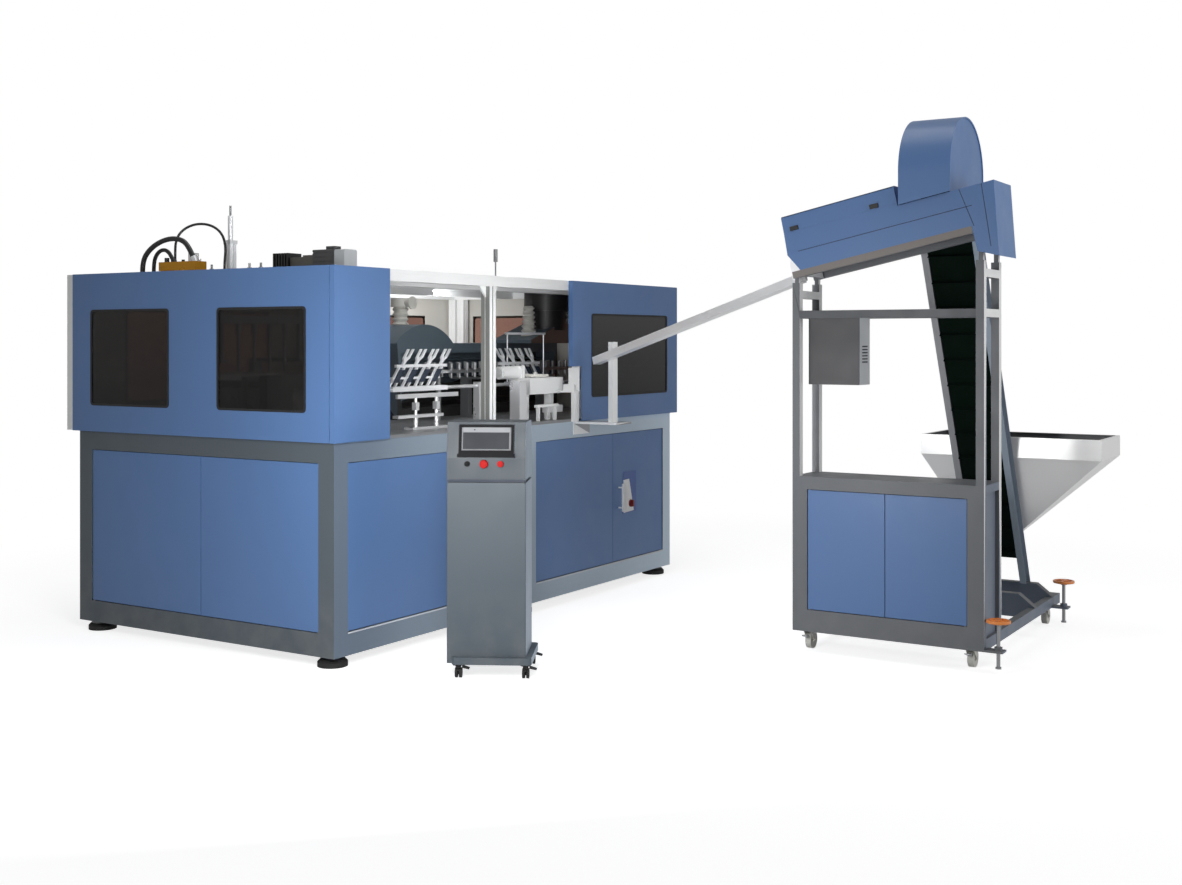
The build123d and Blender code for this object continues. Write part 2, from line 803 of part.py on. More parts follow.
def make_infeed_unit():
    floor = base_top + table_thickness
    with BuildPart() as infeed:
        block(1828, 2189, 100, 240, 1274, 1372)
        for x in (1860, 2130):
            block(x, x + 30, 150, 200, floor, 1274)
        block(2026, 2195, 105, 145, 1157, 1200)
        block(2040, 2070, 115, 135, floor, 1157)
        block(1850, 2080, 60, 84, 1196, 1212)
        block(1868, 1880, 62, 82, floor, 1196)
        block(2050, 2062, 62, 82, floor, 1196)
        block(2118, 2124, -28, 50, 1280, 1330)
        block(2176, 2182, -28, 50, 1280, 1430)
        block(2118, 2182, -28, 100, 1280, 1290)
        block(1828, 1862, 160, 240, 1372, 1446)
        rod((1650, 200, 1406), (1828, 200, 1406), 38)
        rod((1636, 200, 1406), (1650, 200, 1406), 30)
        block(2130, 2170, -30, 0, base_top, 1280)
        star_x, star_y = star_centre()
        rod((star_x, star_y, 1372), (star_x, star_y, 1378), 26)
        rod((star_x, star_y, 1378), (star_x, star_y, 1404), 9.95)
        add_chute_post()
    save(infeed, "infeed_unit")
    with BuildPart() as star:
        with BuildSketch(Plane(place(star_x, star_y, 1378.3))) as outline:
            Circle(82)
            with PolarLocations(84, 8):
                Circle(17, mode=Mode.SUBTRACT)
            Circle(10, mode=Mode.SUBTRACT)
        extrude(outline.sketch, amount=14)
    save(star, "star_wheel")


def star_centre():
    """The axis of the star wheel that hands the preforms on."""
    return 1990.0, 170.0


# Oven

def make_oven():
    floor = base_top + table_thickness
    lamp_floor = 1180.0
    with BuildPart() as oven:
        block(oven_left, oven_right, oven_front, oven_rear, floor, oven_top)
        block(oven_left + 40, oven_right - 40, oven_front - 10, oven_front + 160,
              lamp_floor, oven_top - 60, mode=Mode.SUBTRACT)
        dome_x = oven_left + 285
        with BuildSketch(upright(dome_x, oven_front + 210, oven_top, "front")) as dome:
            with BuildLine():
                ThreePointArc((-285, 0), (0, 118), (285, 0))
                Line((285, 0), (-285, 0))
            make_face()
        extrude(dome.sketch, amount=200, both=True)
        for level in range(6):
            z = lamp_floor + 35 + level * 52
            rod((oven_left + 40, oven_front + 120, z), (oven_right - 40, oven_front + 120, z), 6)
        block(oven_left + sheet, oven_right - sheet, oven_front + 170, oven_rear - sheet,
              floor + sheet, oven_top - sheet, mode=Mode.SUBTRACT)
        hood = upright(0, hood_front, oven_top, "front")
        profile(hood, [(2560, 0), (oven_right, 0), (oven_right, hood_rise), (2924, hood_rise),
                       (2560, 22)], hood_front - oven_front - 50)
        for x, y, z, radius in duct_seats():
            rod((x, y, z), (x, y, z + 300), radius + 0.5, mode=Mode.SUBTRACT)
    save(oven, "oven_housing")


def duct_seats():
    """Where the ducts stand on the oven: X, Y, the seat's height and the radius."""
    return [(oven_left + 285, oven_front + 210, oven_top + 105, 52.0),
            (2693.0, hood_y, oven_top + 38, 56.0),
            (2912.0, hood_y, oven_top + 88, 130.0)]


def corrugated(x, y, z, radius, height, rings, taper=0.0, lean=0.0):
    """A ribbed duct standing on end; it may narrow on its way up and lean along X."""
    face = Plane(origin=place(x, y, z), x_dir=(1, 0, -lean), z_dir=(0, -1, 0))
    step = height / rings
    points = [(radius - 14, 0)]
    for ring in range(rings):
        points += [(radius - taper * (ring + 0.5) / rings, (ring + 0.5) * step),
                   (radius - 14 - taper * (ring + 1) / rings, (ring + 1) * step)]
    with BuildSketch(face) as outline:
        with BuildLine():
            Polyline((0, 0), *points, (0, height), close=True)
        make_face()
    revolve(outline.sketch, axis=Axis(place(x, y, z), (lean, 0, 1)))


def make_oven_blower():
    elbow, duct, fan = duct_seats()
    with BuildPart() as blower:
        x, y, z, radius = elbow
        corrugated(x, y, z, radius, 125, 4)
        rod((x, y, z + 125), (x, y, z + 180), 62)
        rod((x, y - 90, z + 150), (x, y, z + 150), 30)
        rod((x, y - 100, z + 150), (x, y - 90, z + 150), 40)
        x, y, z, radius = duct
        corrugated(x, y, z, radius, 212, 7, taper=16)
        x, y, z, radius = fan
        rod((x, y, z), (x, y, z + 132), radius)
        rod((x, y, z + 132), (x, y, z + 262), 155)
        x, z = 3140, oven_top + hood_rise
        rod((x, y, z), (x, y, z + 24), 56)
        corrugated(x, y, z + 18, 60, 190, 7, lean=0.22)
    save(blower, "oven_blower")


def make_chain():
    inner = chain_radius
    outer = chain_radius + chain_thickness
    middle = (chain_left + chain_right) / 2
    span = chain_right - chain_left
    with BuildPart() as chain:
        with BuildSketch(Plane(place(middle, chain_y, chain_z))) as loop:
            SlotCenterToCenter(span, 2 * outer)
            SlotCenterToCenter(span, 2 * inner, mode=Mode.SUBTRACT)
        extrude(loop.sketch, amount=18)
        count = int(span // mandrel_pitch)
        radius = (inner + outer) / 2
        places = []
        for index in range(count + 1):
            x = chain_left + index * span / count
            places += [(x, chain_y - radius), (x, chain_y + radius)]
        for x, y in places:
            rod((x, y, chain_z + 18), (x, y, chain_z + 62), mandrel_radius)
            rod((x, y, chain_z - 30), (x, y, chain_z), mandrel_radius - 3)
        for x in (chain_left + 260, chain_right - 260):
            floor = base_top + table_thickness
            block(x, x + 40, chain_y - 30, chain_y + 30, floor, chain_z - 44)
            block(x, x + 40, chain_y - outer, chain_y + outer, chain_z - 44, chain_z - 30)
    save(chain, "preform_chain")
    with BuildPart() as wheel:
        with BuildSketch(Plane(place(chain_left, chain_y, chain_z + 2))) as outline:
            Circle(inner - 0.3)
            with PolarLocations(inner - 26, 6):
                Circle(12, mode=Mode.SUBTRACT)
        extrude(outline.sketch, amount=14)
        rod((chain_left, chain_y, base_top + table_thickness + 0.3),
            (chain_left, chain_y, chain_z + 40), 16)
    save(wheel, "chain_wheel")


# Feeder frame and head

def feeder_door_limits():
    """The cabinet's door opening along Y."""
    return feeder_far + 2 * tube + sheet, feeder_near - 2 * tube


def head_point(u, w, x=0.0):
    """A point in the tilted head: u runs down its length, w is up from its lower edge."""
    tilt = radians(head_tilt)
    return (x, head_y + u * cos(tilt) + w * sin(tilt), head_z - u * sin(tilt) + w * cos(tilt))


def head_side(x):
    """The plane of a side of the head, with its X down the length and its Y up."""
    tilt = radians(head_tilt)
    return Plane(origin=place(x, head_y, head_z), x_dir=(0, cos(tilt), -sin(tilt)), z_dir=(1, 0, 0))


def head_section(u):
    """A plane across the head, looking down its length, with its own Y up."""
    tilt = radians(head_tilt)
    return Plane(origin=place(*head_point(u, 0)), x_dir=(-1, 0, 0), z_dir=(0, cos(tilt), -sin(tilt)))


def rail_underside(y):
    """The height of the underside of the head's rails."""
    tilt = radians(head_tilt)
    return head_z - head_rail_height / cos(tilt) - (y - head_y) * tan(tilt)


def make_feeder_frame():
    back = feeder_front + feeder_depth
    floor_top = feeder_floor + base_rail_height
    with BuildPart() as frame:
        for y, top in ((feeder_near - tube, near_post_top), (feeder_far, far_post_top)):
            for x in (feeder_front, back - tube):
                block(x, x + tube, y, y + tube, feeder_floor, top)
                side = Plane(origin=place(x, 0, 0), x_dir=(0, 1, 0), z_dir=(1, 0, 0))
                profile(side, [(y + 4, top), (y + 26, top), (y + 26, rail_underside(y + 26)),
                               (y + 4, rail_underside(y + 4))], tube - 14)
            block(feeder_front + tube, back - tube, y, y + tube, mid_beam_z, mid_beam_z + tube)
            block(feeder_front + tube, back - tube, y, y + tube, top - 2 * tube, top - tube)
            block(feeder_front + tube, back - tube, y, y + tube, cabinet_top - tube, cabinet_top)
            block(feeder_front + tube, base_reach, y, y + tube, feeder_floor, floor_top)
            block(feeder_front + tube, back - tube, y + tube / 2 - 1, y + tube / 2 + 1,
                  floor_top, cabinet_top - tube)
        inner_near = feeder_near - tube
        inner_far = feeder_far + tube
        for x in (feeder_front, back - tube):
            block(x, x + tube, inner_far, inner_near, mid_beam_z, mid_beam_z + tube)
            block(x, x + tube, inner_far, inner_near, cabinet_door_top, cabinet_top)
            block(x, x + tube, inner_far, inner_near, feeder_floor, cabinet_door_bottom)
            door_far, door_near = feeder_door_limits()
            block(x, x + tube, inner_far, door_far, cabinet_door_bottom, cabinet_door_top)
            block(x, x + tube, door_near, inner_near, cabinet_door_bottom, cabinet_door_top)
        block(feeder_front + tube, back - tube, inner_far, inner_near, cabinet_top - 3, cabinet_top)
        block(feeder_front + tube, back - tube, inner_far, inner_near, feeder_floor, feeder_floor + 3)
        block(back - 12, back - 10, door_far, door_near, cabinet_door_bottom, cabinet_door_top)
        block(base_reach, base_reach + tube, feeder_far, feeder_near, feeder_floor, floor_top)
        for x in (2545, 2920):
            cross = Plane(origin=place(x, 0, floor_top), x_dir=(0, 1, 0), z_dir=(1, 0, 0))
            profile(cross, [(feeder_far, 0), (feeder_near, 0), (feeder_near - 90, 70),
                            (feeder_far + 90, 70)], 50)
            profile(cross, [(inner_far, -base_rail_height), (inner_near, -base_rail_height),
                            (inner_near, 0), (inner_far, 0)], 50)
        inset = 2 * sheet
        right_rail = head_left + head_width - head_rail_width
        for x, inner_x in ((head_left, head_left + inset), (right_rail, right_rail)):
            profile(head_side(x), [(89, -head_rail_height), (1040, -head_rail_height),
                                   (1040, 0), (89, 0)], head_rail_width)
            profile(head_side(inner_x), [(-22, -head_rail_height), (89, -head_rail_height),
                                         (89, -1), (-22, -1)], head_rail_width - inset)
        for u in (100, head_length - 10):
            end_plate(u)
        for x in screw_places():
            block(x - 34, x + 34, feeder_far - 88, feeder_far, feeder_floor, feeder_floor + 10)
            rod((x, screw_y(), feeder_floor + 10), (x, screw_y(), feeder_floor + 26), 19)
            rod((x, screw_y(), feeder_floor), (x, screw_y(), feeder_floor + 26), 9 + running,
                mode=Mode.SUBTRACT)
    save(frame, "feeder_frame")


def end_plate(u):
    """A plate across the head that carries the roller shafts, notched between them."""
    plane = head_section(u)
    x_middle = head_left + head_width / 2
    with BuildSketch(plane) as plate:
        with Locations((-x_middle, 50)):
            Rectangle(head_width - 2 * sheet - 1, 170)
        with Locations((-x_middle, 70)):
            Rectangle(30, 160, mode=Mode.SUBTRACT)
        for sign in (-1, 1):
            with Locations((-x_middle + sign * roller_spacing / 2, roller_w)):
                Circle(shaft_radius + running, mode=Mode.SUBTRACT)
    extrude(plate.sketch, amount=6)


def screw_places():
    """Where the two levelling screws stand along X."""
    return 1626.0, 2930.0


def screw_y():
    return feeder_far - 59.0


def make_rollers():
    x_middle = head_left + head_width / 2
    for name, sign in (("sorting_roller_front", -1), ("sorting_roller_rear", 1)):
        x = x_middle + sign * roller_spacing / 2
        with BuildPart() as roller:
            rod(head_point(106.3, roller_w, x), head_point(head_length - 10.3, roller_w, x),
                roller_radius)
            rod(head_point(96, roller_w, x), head_point(head_length + 5, roller_w, x), shaft_radius)
        save(roller, name)


def make_head_cover():
    right = head_left + head_width
    outline = [(-11, -170), (85, -125), (88, 0), (head_length, 0), (1047, 90), (1043, 205),
               (lid_start, 205), (lid_start, head_height), (-61, head_height)]
    inner = [(-11 + sheet, -180), (head_length - 1, -180), (head_length - 1, -1),
             (1047 - sheet, 90), (1043 - sheet, 210), (lid_start + sheet, 210),
             (lid_start + sheet, head_height - sheet), (-61 + sheet, head_height - sheet)]
    with BuildPart() as cover:
        profile(head_side(head_left), outline, head_width)
        profile(head_side(head_left + sheet), inner, head_width - 2 * sheet, mode=Mode.SUBTRACT)
        far_edge = arch_near - arch_width + 6
        block(head_left + 60, right + 1, far_edge, arch_near - sheet - 1, 2205, 2420, mode=Mode.SUBTRACT)
        profile(head_side(head_left + 110), [(head_length - 8, 6), (1060, 6), (1060, 80),
                                             (head_length - 8, 80)], 80, mode=Mode.SUBTRACT)
        hinge_x = right + hinge_offset
        for start in hinge_stations():
            rod(head_point(start, 200, hinge_x), head_point(start + 40, 200, hinge_x), hinge_radius)
            rod(head_point(start, 200, hinge_x), head_point(start + 110, 200, hinge_x), hinge_pin)
            profile(head_side(right), [(start, 150), (start + 40, 150), (start + 40, 200), (start, 200)],
                    sheet)
        line = head_side(head_left)
        profile(line, [(90, 104), (1040, 104), (1040, 107), (90, 107)], -1.5)
    save(cover, "head_cover")


def hinge_stations():
    """Where each lid hinge starts along the head."""
    return lid_start + 60, lid_end - 190


def make_head_lid():
    right = head_left + head_width
    bottom = 205 + lid_gap
    width = head_width
    middle = -(head_left + width / 2)
    with BuildPart() as lid:
        with BuildSketch(head_section(lid_start)) as outer:
            with Locations((middle, bottom + lid_height / 2)):
                Rectangle(width, lid_height)
            fillet(outer.vertices().group_by(Axis.Y)[-1], 14)
        extrude(outer.sketch, amount=lid_end - lid_start)
        with BuildSketch(head_section(lid_start + sheet)) as inner:
            with Locations((middle, bottom + lid_height / 2 - sheet)):
                Rectangle(width - 2 * sheet, lid_height)
        extrude(inner.sketch, amount=lid_end - lid_start - 2 * sheet, mode=Mode.SUBTRACT)
        hinge_x = right + hinge_offset
        for start in hinge_stations():
            first = start + 40.3
            profile(head_side(right), [(first, bottom), (first + 69, bottom),
                                       (first + 69, bottom + 30), (first, bottom + 30)], sheet)
            rod(head_point(first, 200, hinge_x), head_point(first + 69, 200, hinge_x), hinge_radius)
            rod(head_point(first, 200, hinge_x), head_point(first + 69, 200, hinge_x),
                hinge_pin + running, mode=Mode.SUBTRACT)
            profile(head_side(right + 0.5), [(first, 200), (first + 69, 200), (first + 69, bottom + 9),
                                             (first, bottom + 9)], 1.5)
        for u in (lid_start + 95, lid_end - 85):
            profile(head_side(head_left), [(u, bottom + 2), (u + 44, bottom + 2), (u + 44, bottom + 24),
                                           (u, bottom + 24)], -9)
    save(lid, "head_lid")


def make_arch_hood():
    seat = head_height
    tilt = radians(head_tilt)

    def arch(radius, y, depth, mode):
        face = upright(arch_centre_x, y, arch_centre_z, "front")
        with BuildSketch(face) as outline:
            with BuildLine():
                CenterArc((0, 0), radius, 0, 180)
                Polyline((-radius, 0), (-radius, -320), (radius, -320), (radius, 0))
            make_face()
        extrude(outline.sketch, amount=depth, mode=mode)

    with BuildPart() as hood:
        arch(arch_radius, arch_near, arch_width, Mode.ADD)
        arch(arch_radius - sheet, arch_near - sheet, arch_width - 4 * sheet, Mode.SUBTRACT)
        arch(arch_radius - 4 * sheet, arch_near - arch_width + 2 * sheet, 2 * sheet, Mode.SUBTRACT)
        cut = Plane(origin=place(*head_point(0, seat, arch_centre_x)), x_dir=(1, 0, 0),
                    z_dir=(0, sin(tilt), cos(tilt)))
        split(bisect_by=cut, keep=Keep.TOP)
    save(hood, "arch_hood")


# Elevator

def elevator_point(s, n, y=0.0):
    """A point in the elevator: s runs up its slope, n is out from its underside."""
    slope = radians(elevator_angle)
    x = elevator_foot_x - s * cos(slope) + n * sin(slope)
    z = elevator_foot_z + s * sin(slope) + n * cos(slope)
    return (x, y, z)


def elevator_side(y):
    """A plane along the elevator that faces the machine, with its X up the slope."""
    slope = radians(elevator_angle)
    return Plane(origin=place(*elevator_point(0, 0, y)), x_dir=(-cos(slope), 0, sin(slope)),
                 z_dir=(0, 1, 0))


def drum_centre_n():
    return channel_depth / 2


def make_elevator_frame():
    slope = radians(elevator_angle)
    foot_top = feeder_floor + base_rail_height + 70
    foot_s = -(elevator_foot_z - foot_top) / sin(slope)
    top_s = drum_lift + 45
    flange_top = 2010.0
    far_inner = elevator_near - elevator_inner
    with BuildPart() as frame:
        for inner, outward in ((elevator_near, 1), (far_inner, -1)):
            face = elevator_side(inner)
            profile(face, [(foot_s - 60, 0), (top_s, 0), (top_s, channel_depth),
                           (foot_s - 60, channel_depth)], outward * web)
            for low in (0, channel_depth - web):
                profile(face, [(foot_s - 60, low), (flange_top, low), (flange_top, low + web),
                               (foot_s - 60, low + web)], outward * (web + channel_flange))
        for s in (420, 1200, 1900):
            block_on_slope(s, 36, 44, far_inner, elevator_near)
        for s in (0, drum_lift):
            start = elevator_point(s, drum_centre_n(), far_inner - web)
            end = elevator_point(s, drum_centre_n(), elevator_near + web)
            rod(start, end, shaft_radius + running, mode=Mode.SUBTRACT)
        block(2300, 3300, far_inner - 60, elevator_near + 60, 0, foot_top, mode=Mode.SUBTRACT)
    save(frame, "elevator_frame")


def block_on_slope(s, low, high, y0, y1):
    """A flat tie between the elevator's webs."""
    profile(elevator_side(y0), [(s, low), (s + 60, low), (s + 60, high), (s, high)], y1 - y0)


def make_elevator_belt():
    centre = drum_centre_n()
    inner = drum_radius + belt_gap
    outer = inner + belt_thickness
    clearance = 4.0
    width = elevator_inner - 2 * clearance
    face = elevator_side(elevator_near - elevator_inner + clearance)
    with BuildPart() as belt:
        with BuildSketch(face) as loop:
            with Locations((drum_lift / 2, centre)):
                SlotCenterToCenter(drum_lift, 2 * outer)
                SlotCenterToCenter(drum_lift, 2 * inner, mode=Mode.SUBTRACT)
        extrude(loop.sketch, amount=width)
        with BuildSketch(face) as cleats:
            for index in range(int(drum_lift // cleat_pitch) + 1):
                s = 30 + index * cleat_pitch
                for sign in (-1, 1):
                    with Locations((s, centre + sign * (outer - 1 + cleat_height / 2))):
                        Rectangle(5, cleat_height + 2)
        extrude(cleats.sketch, amount=width)
    save(belt, "elevator_belt")


def make_drums():
    clearance = 1.0
    far_inner = elevator_near - elevator_inner
    for name, s in (("elevator_drum_bottom", 0.0), ("elevator_drum_top", drum_lift)):
        with BuildPart() as drum:
            rod(elevator_point(s, drum_centre_n(), far_inner + clearance),
                elevator_point(s, drum_centre_n(), elevator_near - clearance), drum_radius)
            rod(elevator_point(s, drum_centre_n(), far_inner - web + 0.5),
                elevator_point(s, drum_centre_n(), elevator_near + web - 0.5), shaft_radius)
        save(drum, name)


def make_hopper():
    """The preform hopper, open to the belt on the side that leans on the elevator."""
    wall = 3.0
    throat_length = 95.0
    lip = 18.0
    slope = radians(elevator_angle)
    foot_x, _, foot_z = elevator_point(0, channel_depth)
    rim_left = foot_x - (hopper_rim_bottom - foot_z) / tan(slope)
    throat_left = foot_x - (hopper_throat_z - foot_z) / tan(slope)
    far = -hopper_reach
    throat_far = elevator_near - elevator_inner - 8
    throat_near = elevator_near + 8
    middle = ((rim_left + hopper_right) / 2, (far + hopper_near) / 2)
    rim_length = hopper_right - rim_left
    rim_width = hopper_near - far

    def funnel(inset, extra, mode):
        with BuildSketch(Plane(place(0, 0, hopper_rim_bottom))) as rim:
            with Locations(middle):
                Rectangle(rim_length - 2 * inset, rim_width - 2 * inset)
        with BuildSketch(Plane(place(0, 0, hopper_throat_z + inset))) as throat:
            with Locations((throat_left + throat_length / 2, (throat_far + throat_near) / 2)):
                Rectangle(throat_length - 2 * inset, throat_near - throat_far - 2 * inset)
        loft([rim.sketch, throat.sketch], mode=mode)
        extrude(rim.sketch, amount=hopper_rim_top - hopper_rim_bottom + extra, mode=mode)

    with BuildPart() as hopper:
        funnel(0, 0, Mode.ADD)
        funnel(wall, 1, Mode.SUBTRACT)
        with BuildSketch(Plane(place(0, 0, hopper_rim_top - wall))) as edge:
            with Locations(middle):
                Rectangle(rim_length, rim_width)
                Rectangle(rim_length - 2 * lip, rim_width - 2 * lip, mode=Mode.SUBTRACT)
        extrude(edge.sketch, amount=wall)
        profile(elevator_side(elevator_near - elevator_inner),
                [(60, 40), (660, 40), (660, 108), (60, 108)], elevator_inner, mode=Mode.SUBTRACT)
    save(hopper, "hopper")


def make_control_box():
    left, right, far, near, low, high = 1700.0, 1850.0, -2023.0, -1742.0, 1370.0, 1725.0
    with BuildPart() as box:
        block(left, right, far, near, low, high)
        fillet(box.edges().filter_by(Axis.Z), 6)
        with BuildSketch(upright((left + right) / 2, far, (low + high) / 2 - 20, "front")) as vents:
            with GridLocations(0, 16, 1, 6):
                SlotOverall(80, 7)
        extrude(vents.sketch, amount=-3, mode=Mode.SUBTRACT)
    save(box, "control_box")


def make_feeder_casters():
    plate = 8.0
    with BuildPart() as casters:
        for x, y in ((1700, -2600), (1680, -1760), (2960, -2640), (2960, -1770)):
            block(x - 45, x + 25, y - 28, y + 28, feeder_floor - plate, feeder_floor)
            for dy in (-21, 17):
                fork = Plane(origin=place(x, y + dy, 0), x_dir=(1, 0, 0), z_dir=(0, 1, 0))
                profile(fork, [(-40, plate - feeder_floor), (20, plate - feeder_floor),
                               (30, -caster_radius - 8), (30, 10 - caster_radius),
                               (2, 10 - caster_radius), (2, -caster_radius - 8)], 4)
            rod((x + 16, y - 15, caster_radius), (x + 16, y + 15, caster_radius), caster_radius)
            rod((x + 16, y - 24, caster_radius), (x + 16, y + 24, caster_radius), 8)
    save(casters, "feeder_casters")


def make_screws():
    for name, x in zip(("levelling_screw_near", "levelling_screw_far"), screw_places()):
        y = screw_y()
        with BuildPart() as screw:
            rod((x, y, 34), (x, y, 236), 9)
            rod((x, y, 26), (x, y, 34), 14)
            rod((x, y, 236), (x, y, 262), 17)
            with BuildSketch(Plane(place(x, y, 246))) as wheel:
                Circle(58)
                Circle(46, mode=Mode.SUBTRACT)
                with PolarLocations(31, 4):
                    Rectangle(36, 12)
            extrude(wheel.sketch, amount=14)
            fillet(screw.edges().filter_by(GeomType.CIRCLE).group_by(SortBy.RADIUS)[-1], 4)
        save(screw, name)


# Chute

def chute_frame(share):
    """A plane across the chute at a share of its length, with its Y up."""
    start = Vector(*chute_top)
    run = Vector(*chute_end) - start
    origin = start + run * share
    return Plane(origin=place(origin.X, origin.Y, origin.Z), x_dir=(-run.Y, run.X, 0), z_dir=run)


def make_chute():
    """The outlet box under the head's low end, and the open rail that leads down from it."""
    start = Vector(*chute_top)
    run = Vector(*chute_end) - start
    half = chute_width / 2
    high = chute_height
    lip = 8.0
    rail = [(-half, 0), (half, 0), (half, high), (half - lip, high), (half - lip, high - sheet),
            (half - sheet, high - sheet), (half - sheet, sheet), (sheet - half, sheet),
            (sheet - half, high - sheet), (lip - half, high - sheet), (lip - half, high), (-half, high)]
    shell = [(994.2, 2), (1045.8, 88), (1075, 66), (1078, -30), (1041, -38), (1041, 0)]
    hollow = [(980, 6), (1043, 110), (1072, 110), (1072, 10)]
    throat = [(1030, 30), (1060, 30), (1060, -60), (1030, -60)]
    with BuildPart() as chute:
        profile(head_side(1660), shell, 110)
        profile(head_side(1660 + sheet), hollow, 110 - 2 * sheet, mode=Mode.SUBTRACT)
        profile(head_side(1690), throat, 50, mode=Mode.SUBTRACT)
        profile(chute_frame(0), [(-half, 0), (half, 0), (half, high), (-half, high)], 120,
                mode=Mode.SUBTRACT)
        profile(chute_frame(0), rail, run.length)
    save(chute, "preform_chute")


def add_chute_post():
    """The post that holds the chute, on its bracket plate."""
    start = Vector(*chute_top)
    run = Vector(*chute_end) - start
    across = Vector(run.Y, -run.X, 0).normalized()
    centre = start + run * chute_post_share + across * (chute_width / 2 + 20)
    foot = Plane(origin=place(centre.X, centre.Y, base_top), x_dir=across, z_dir=(0, 0, 1))
    with BuildSketch(foot) as section:
        Rectangle(40, 40)
    extrude(section.sketch, amount=489)
    block(2150, 2330, -310, 0, base_top - 12, base_top)
    block(2150, 2330, -8, 0, base_top - 80, base_top - 12)


# Control stand

def stand_plane(x, y, z):
    """A level plane of the stand: its X runs to the right of its front, its Y to its back."""
    turn = radians(stand_turn)
    right = Vector(sin(turn), -cos(turn), 0)
    back = Vector(cos(turn), sin(turn), 0)
    origin = Vector(stand_x, stand_y, z) + right * x + back * y
    return Plane(origin=place(origin.X, origin.Y, origin.Z), x_dir=right, z_dir=(0, 0, 1))


def stand_side(x):
    """A standing plane of the stand that faces its right, with its X to the back and its Y up."""
    turn = radians(stand_turn)
    return Plane(origin=stand_plane(x, 0, 0).origin, x_dir=(cos(turn), sin(turn), 0),
                 z_dir=(sin(turn), -cos(turn), 0))


def stand_face(x, z, lift=0.0):
    """A standing plane on the front of the stand's console, facing out."""
    turn = radians(stand_turn)
    return Plane(origin=stand_plane(x, -stand_depth / 2 - lift, z).origin,
                 x_dir=(sin(turn), -cos(turn), 0), z_dir=(-cos(turn), -sin(turn), 0))


def make_stand():
    half = stand_depth / 2
    left = stand_offset - stand_width / 2
    with BuildPart() as body:
        with BuildSketch(stand_plane(stand_offset, 0, stand_floor)) as section:
            Rectangle(stand_width, stand_depth)
            fillet(section.vertices(), 4)
        extrude(section.sketch, amount=console_bottom - neck_height - stand_floor)
        with BuildSketch(stand_plane(0, 0, stand_floor)) as base:
            Rectangle(2 * stand_caster_x + 60, 2 * stand_caster_y + 60)
            fillet(base.vertices(), 20)
        extrude(base.sketch, amount=34)
        with BuildSketch(stand_plane(stand_offset, 6, console_bottom - neck_height)) as neck:
            Rectangle(stand_width - 24, stand_depth - 24)
        extrude(neck.sketch, amount=neck_height)
        with BuildSketch(stand_plane(stand_offset, 0, stand_floor + 34)) as hollow:
            Rectangle(stand_width - 2 * sheet, stand_depth - 2 * sheet)
        extrude(hollow.sketch, amount=console_bottom - neck_height - 2 - stand_floor - 34, mode=Mode.SUBTRACT)
    save(body, "stand_body")

    with BuildPart() as console:
        profile(stand_side(left), [(-half, console_bottom), (half, console_bottom),
                                   (half, console_top - 40), (half - 40, console_top), (console_lean - half, console_top),
                                   (-half, console_break)], stand_width)
        wall = 3.0
        low = console_bottom + wall
        profile(stand_side(left + wall), [(wall - half, low), (half - wall, low),
                                          (half - wall, console_break), (wall - half, console_break - 5)],
                stand_width - 2 * wall, mode=Mode.SUBTRACT)
        rise = console_top - console_break
        lean = atan2(console_lean, rise)
        turn = radians(stand_turn)
        normal = Vector(-cos(turn) * cos(lean), -sin(turn) * cos(lean), sin(lean))
        centre_z = (console_break + console_top) / 2 - 2
        share = (centre_z - console_break) / rise
        screen = Plane(origin=stand_plane(stand_offset, share * console_lean - half, centre_z).origin,
                       x_dir=(sin(turn), -cos(turn), 0), z_dir=normal)
        with BuildSketch(screen) as bezel:
            RectangleRounded(264, 152, 6)
            with Locations((0, 8)):
                Rectangle(236, 112, mode=Mode.SUBTRACT)
        extrude(bezel.sketch, amount=9)
        with BuildSketch(screen) as lip:
            with Locations((0, -72)):
                RectangleRounded(276, 16, 3)
        extrude(lip.sketch, amount=16)
        for x, radius, _ in button_list():
            with BuildSketch(stand_face(x, button_z)) as hole:
                Circle(radius + running)
            extrude(hole.sketch, amount=-30, mode=Mode.SUBTRACT)
    save(console, "stand_console")


def button_list():
    """Each control on the console: its place across, its stem's radius, and its name."""
    return [(-118.0, 10.0, "selector_knob"), (-38.0, 10.0, "emergency_stop"),
            (40.0, 10.0, "start_button")]


def make_buttons():
    for x, radius, name in button_list():
        with BuildPart() as button:
            with BuildSketch(stand_face(x, button_z, -24)) as stem:
                Circle(radius)
            extrude(stem.sketch, amount=24 + 8)
            if name == "selector_knob":
                with BuildSketch(stand_face(x, button_z, 3)) as cap:
                    Circle(13)
                extrude(cap.sketch, amount=8)
                with BuildSketch(stand_face(x, button_z, 11)) as grip:
                    SlotOverall(24, 8, rotation=30)
                extrude(grip.sketch, amount=11)
            elif name == "emergency_stop":
                with BuildSketch(stand_face(x, button_z, 8)) as cap:
                    Circle(20)
                extrude(cap.sketch, amount=16)
                fillet(button.faces().sort_by(Axis(stand_face(x, button_z).origin,
                                                   stand_face(x, button_z).z_dir))[-1].edges(), 6)
            else:
                with BuildSketch(stand_face(x, button_z, 5)) as cap:
                    Circle(15)
                extrude(cap.sketch, amount=10)
        save(button, name)


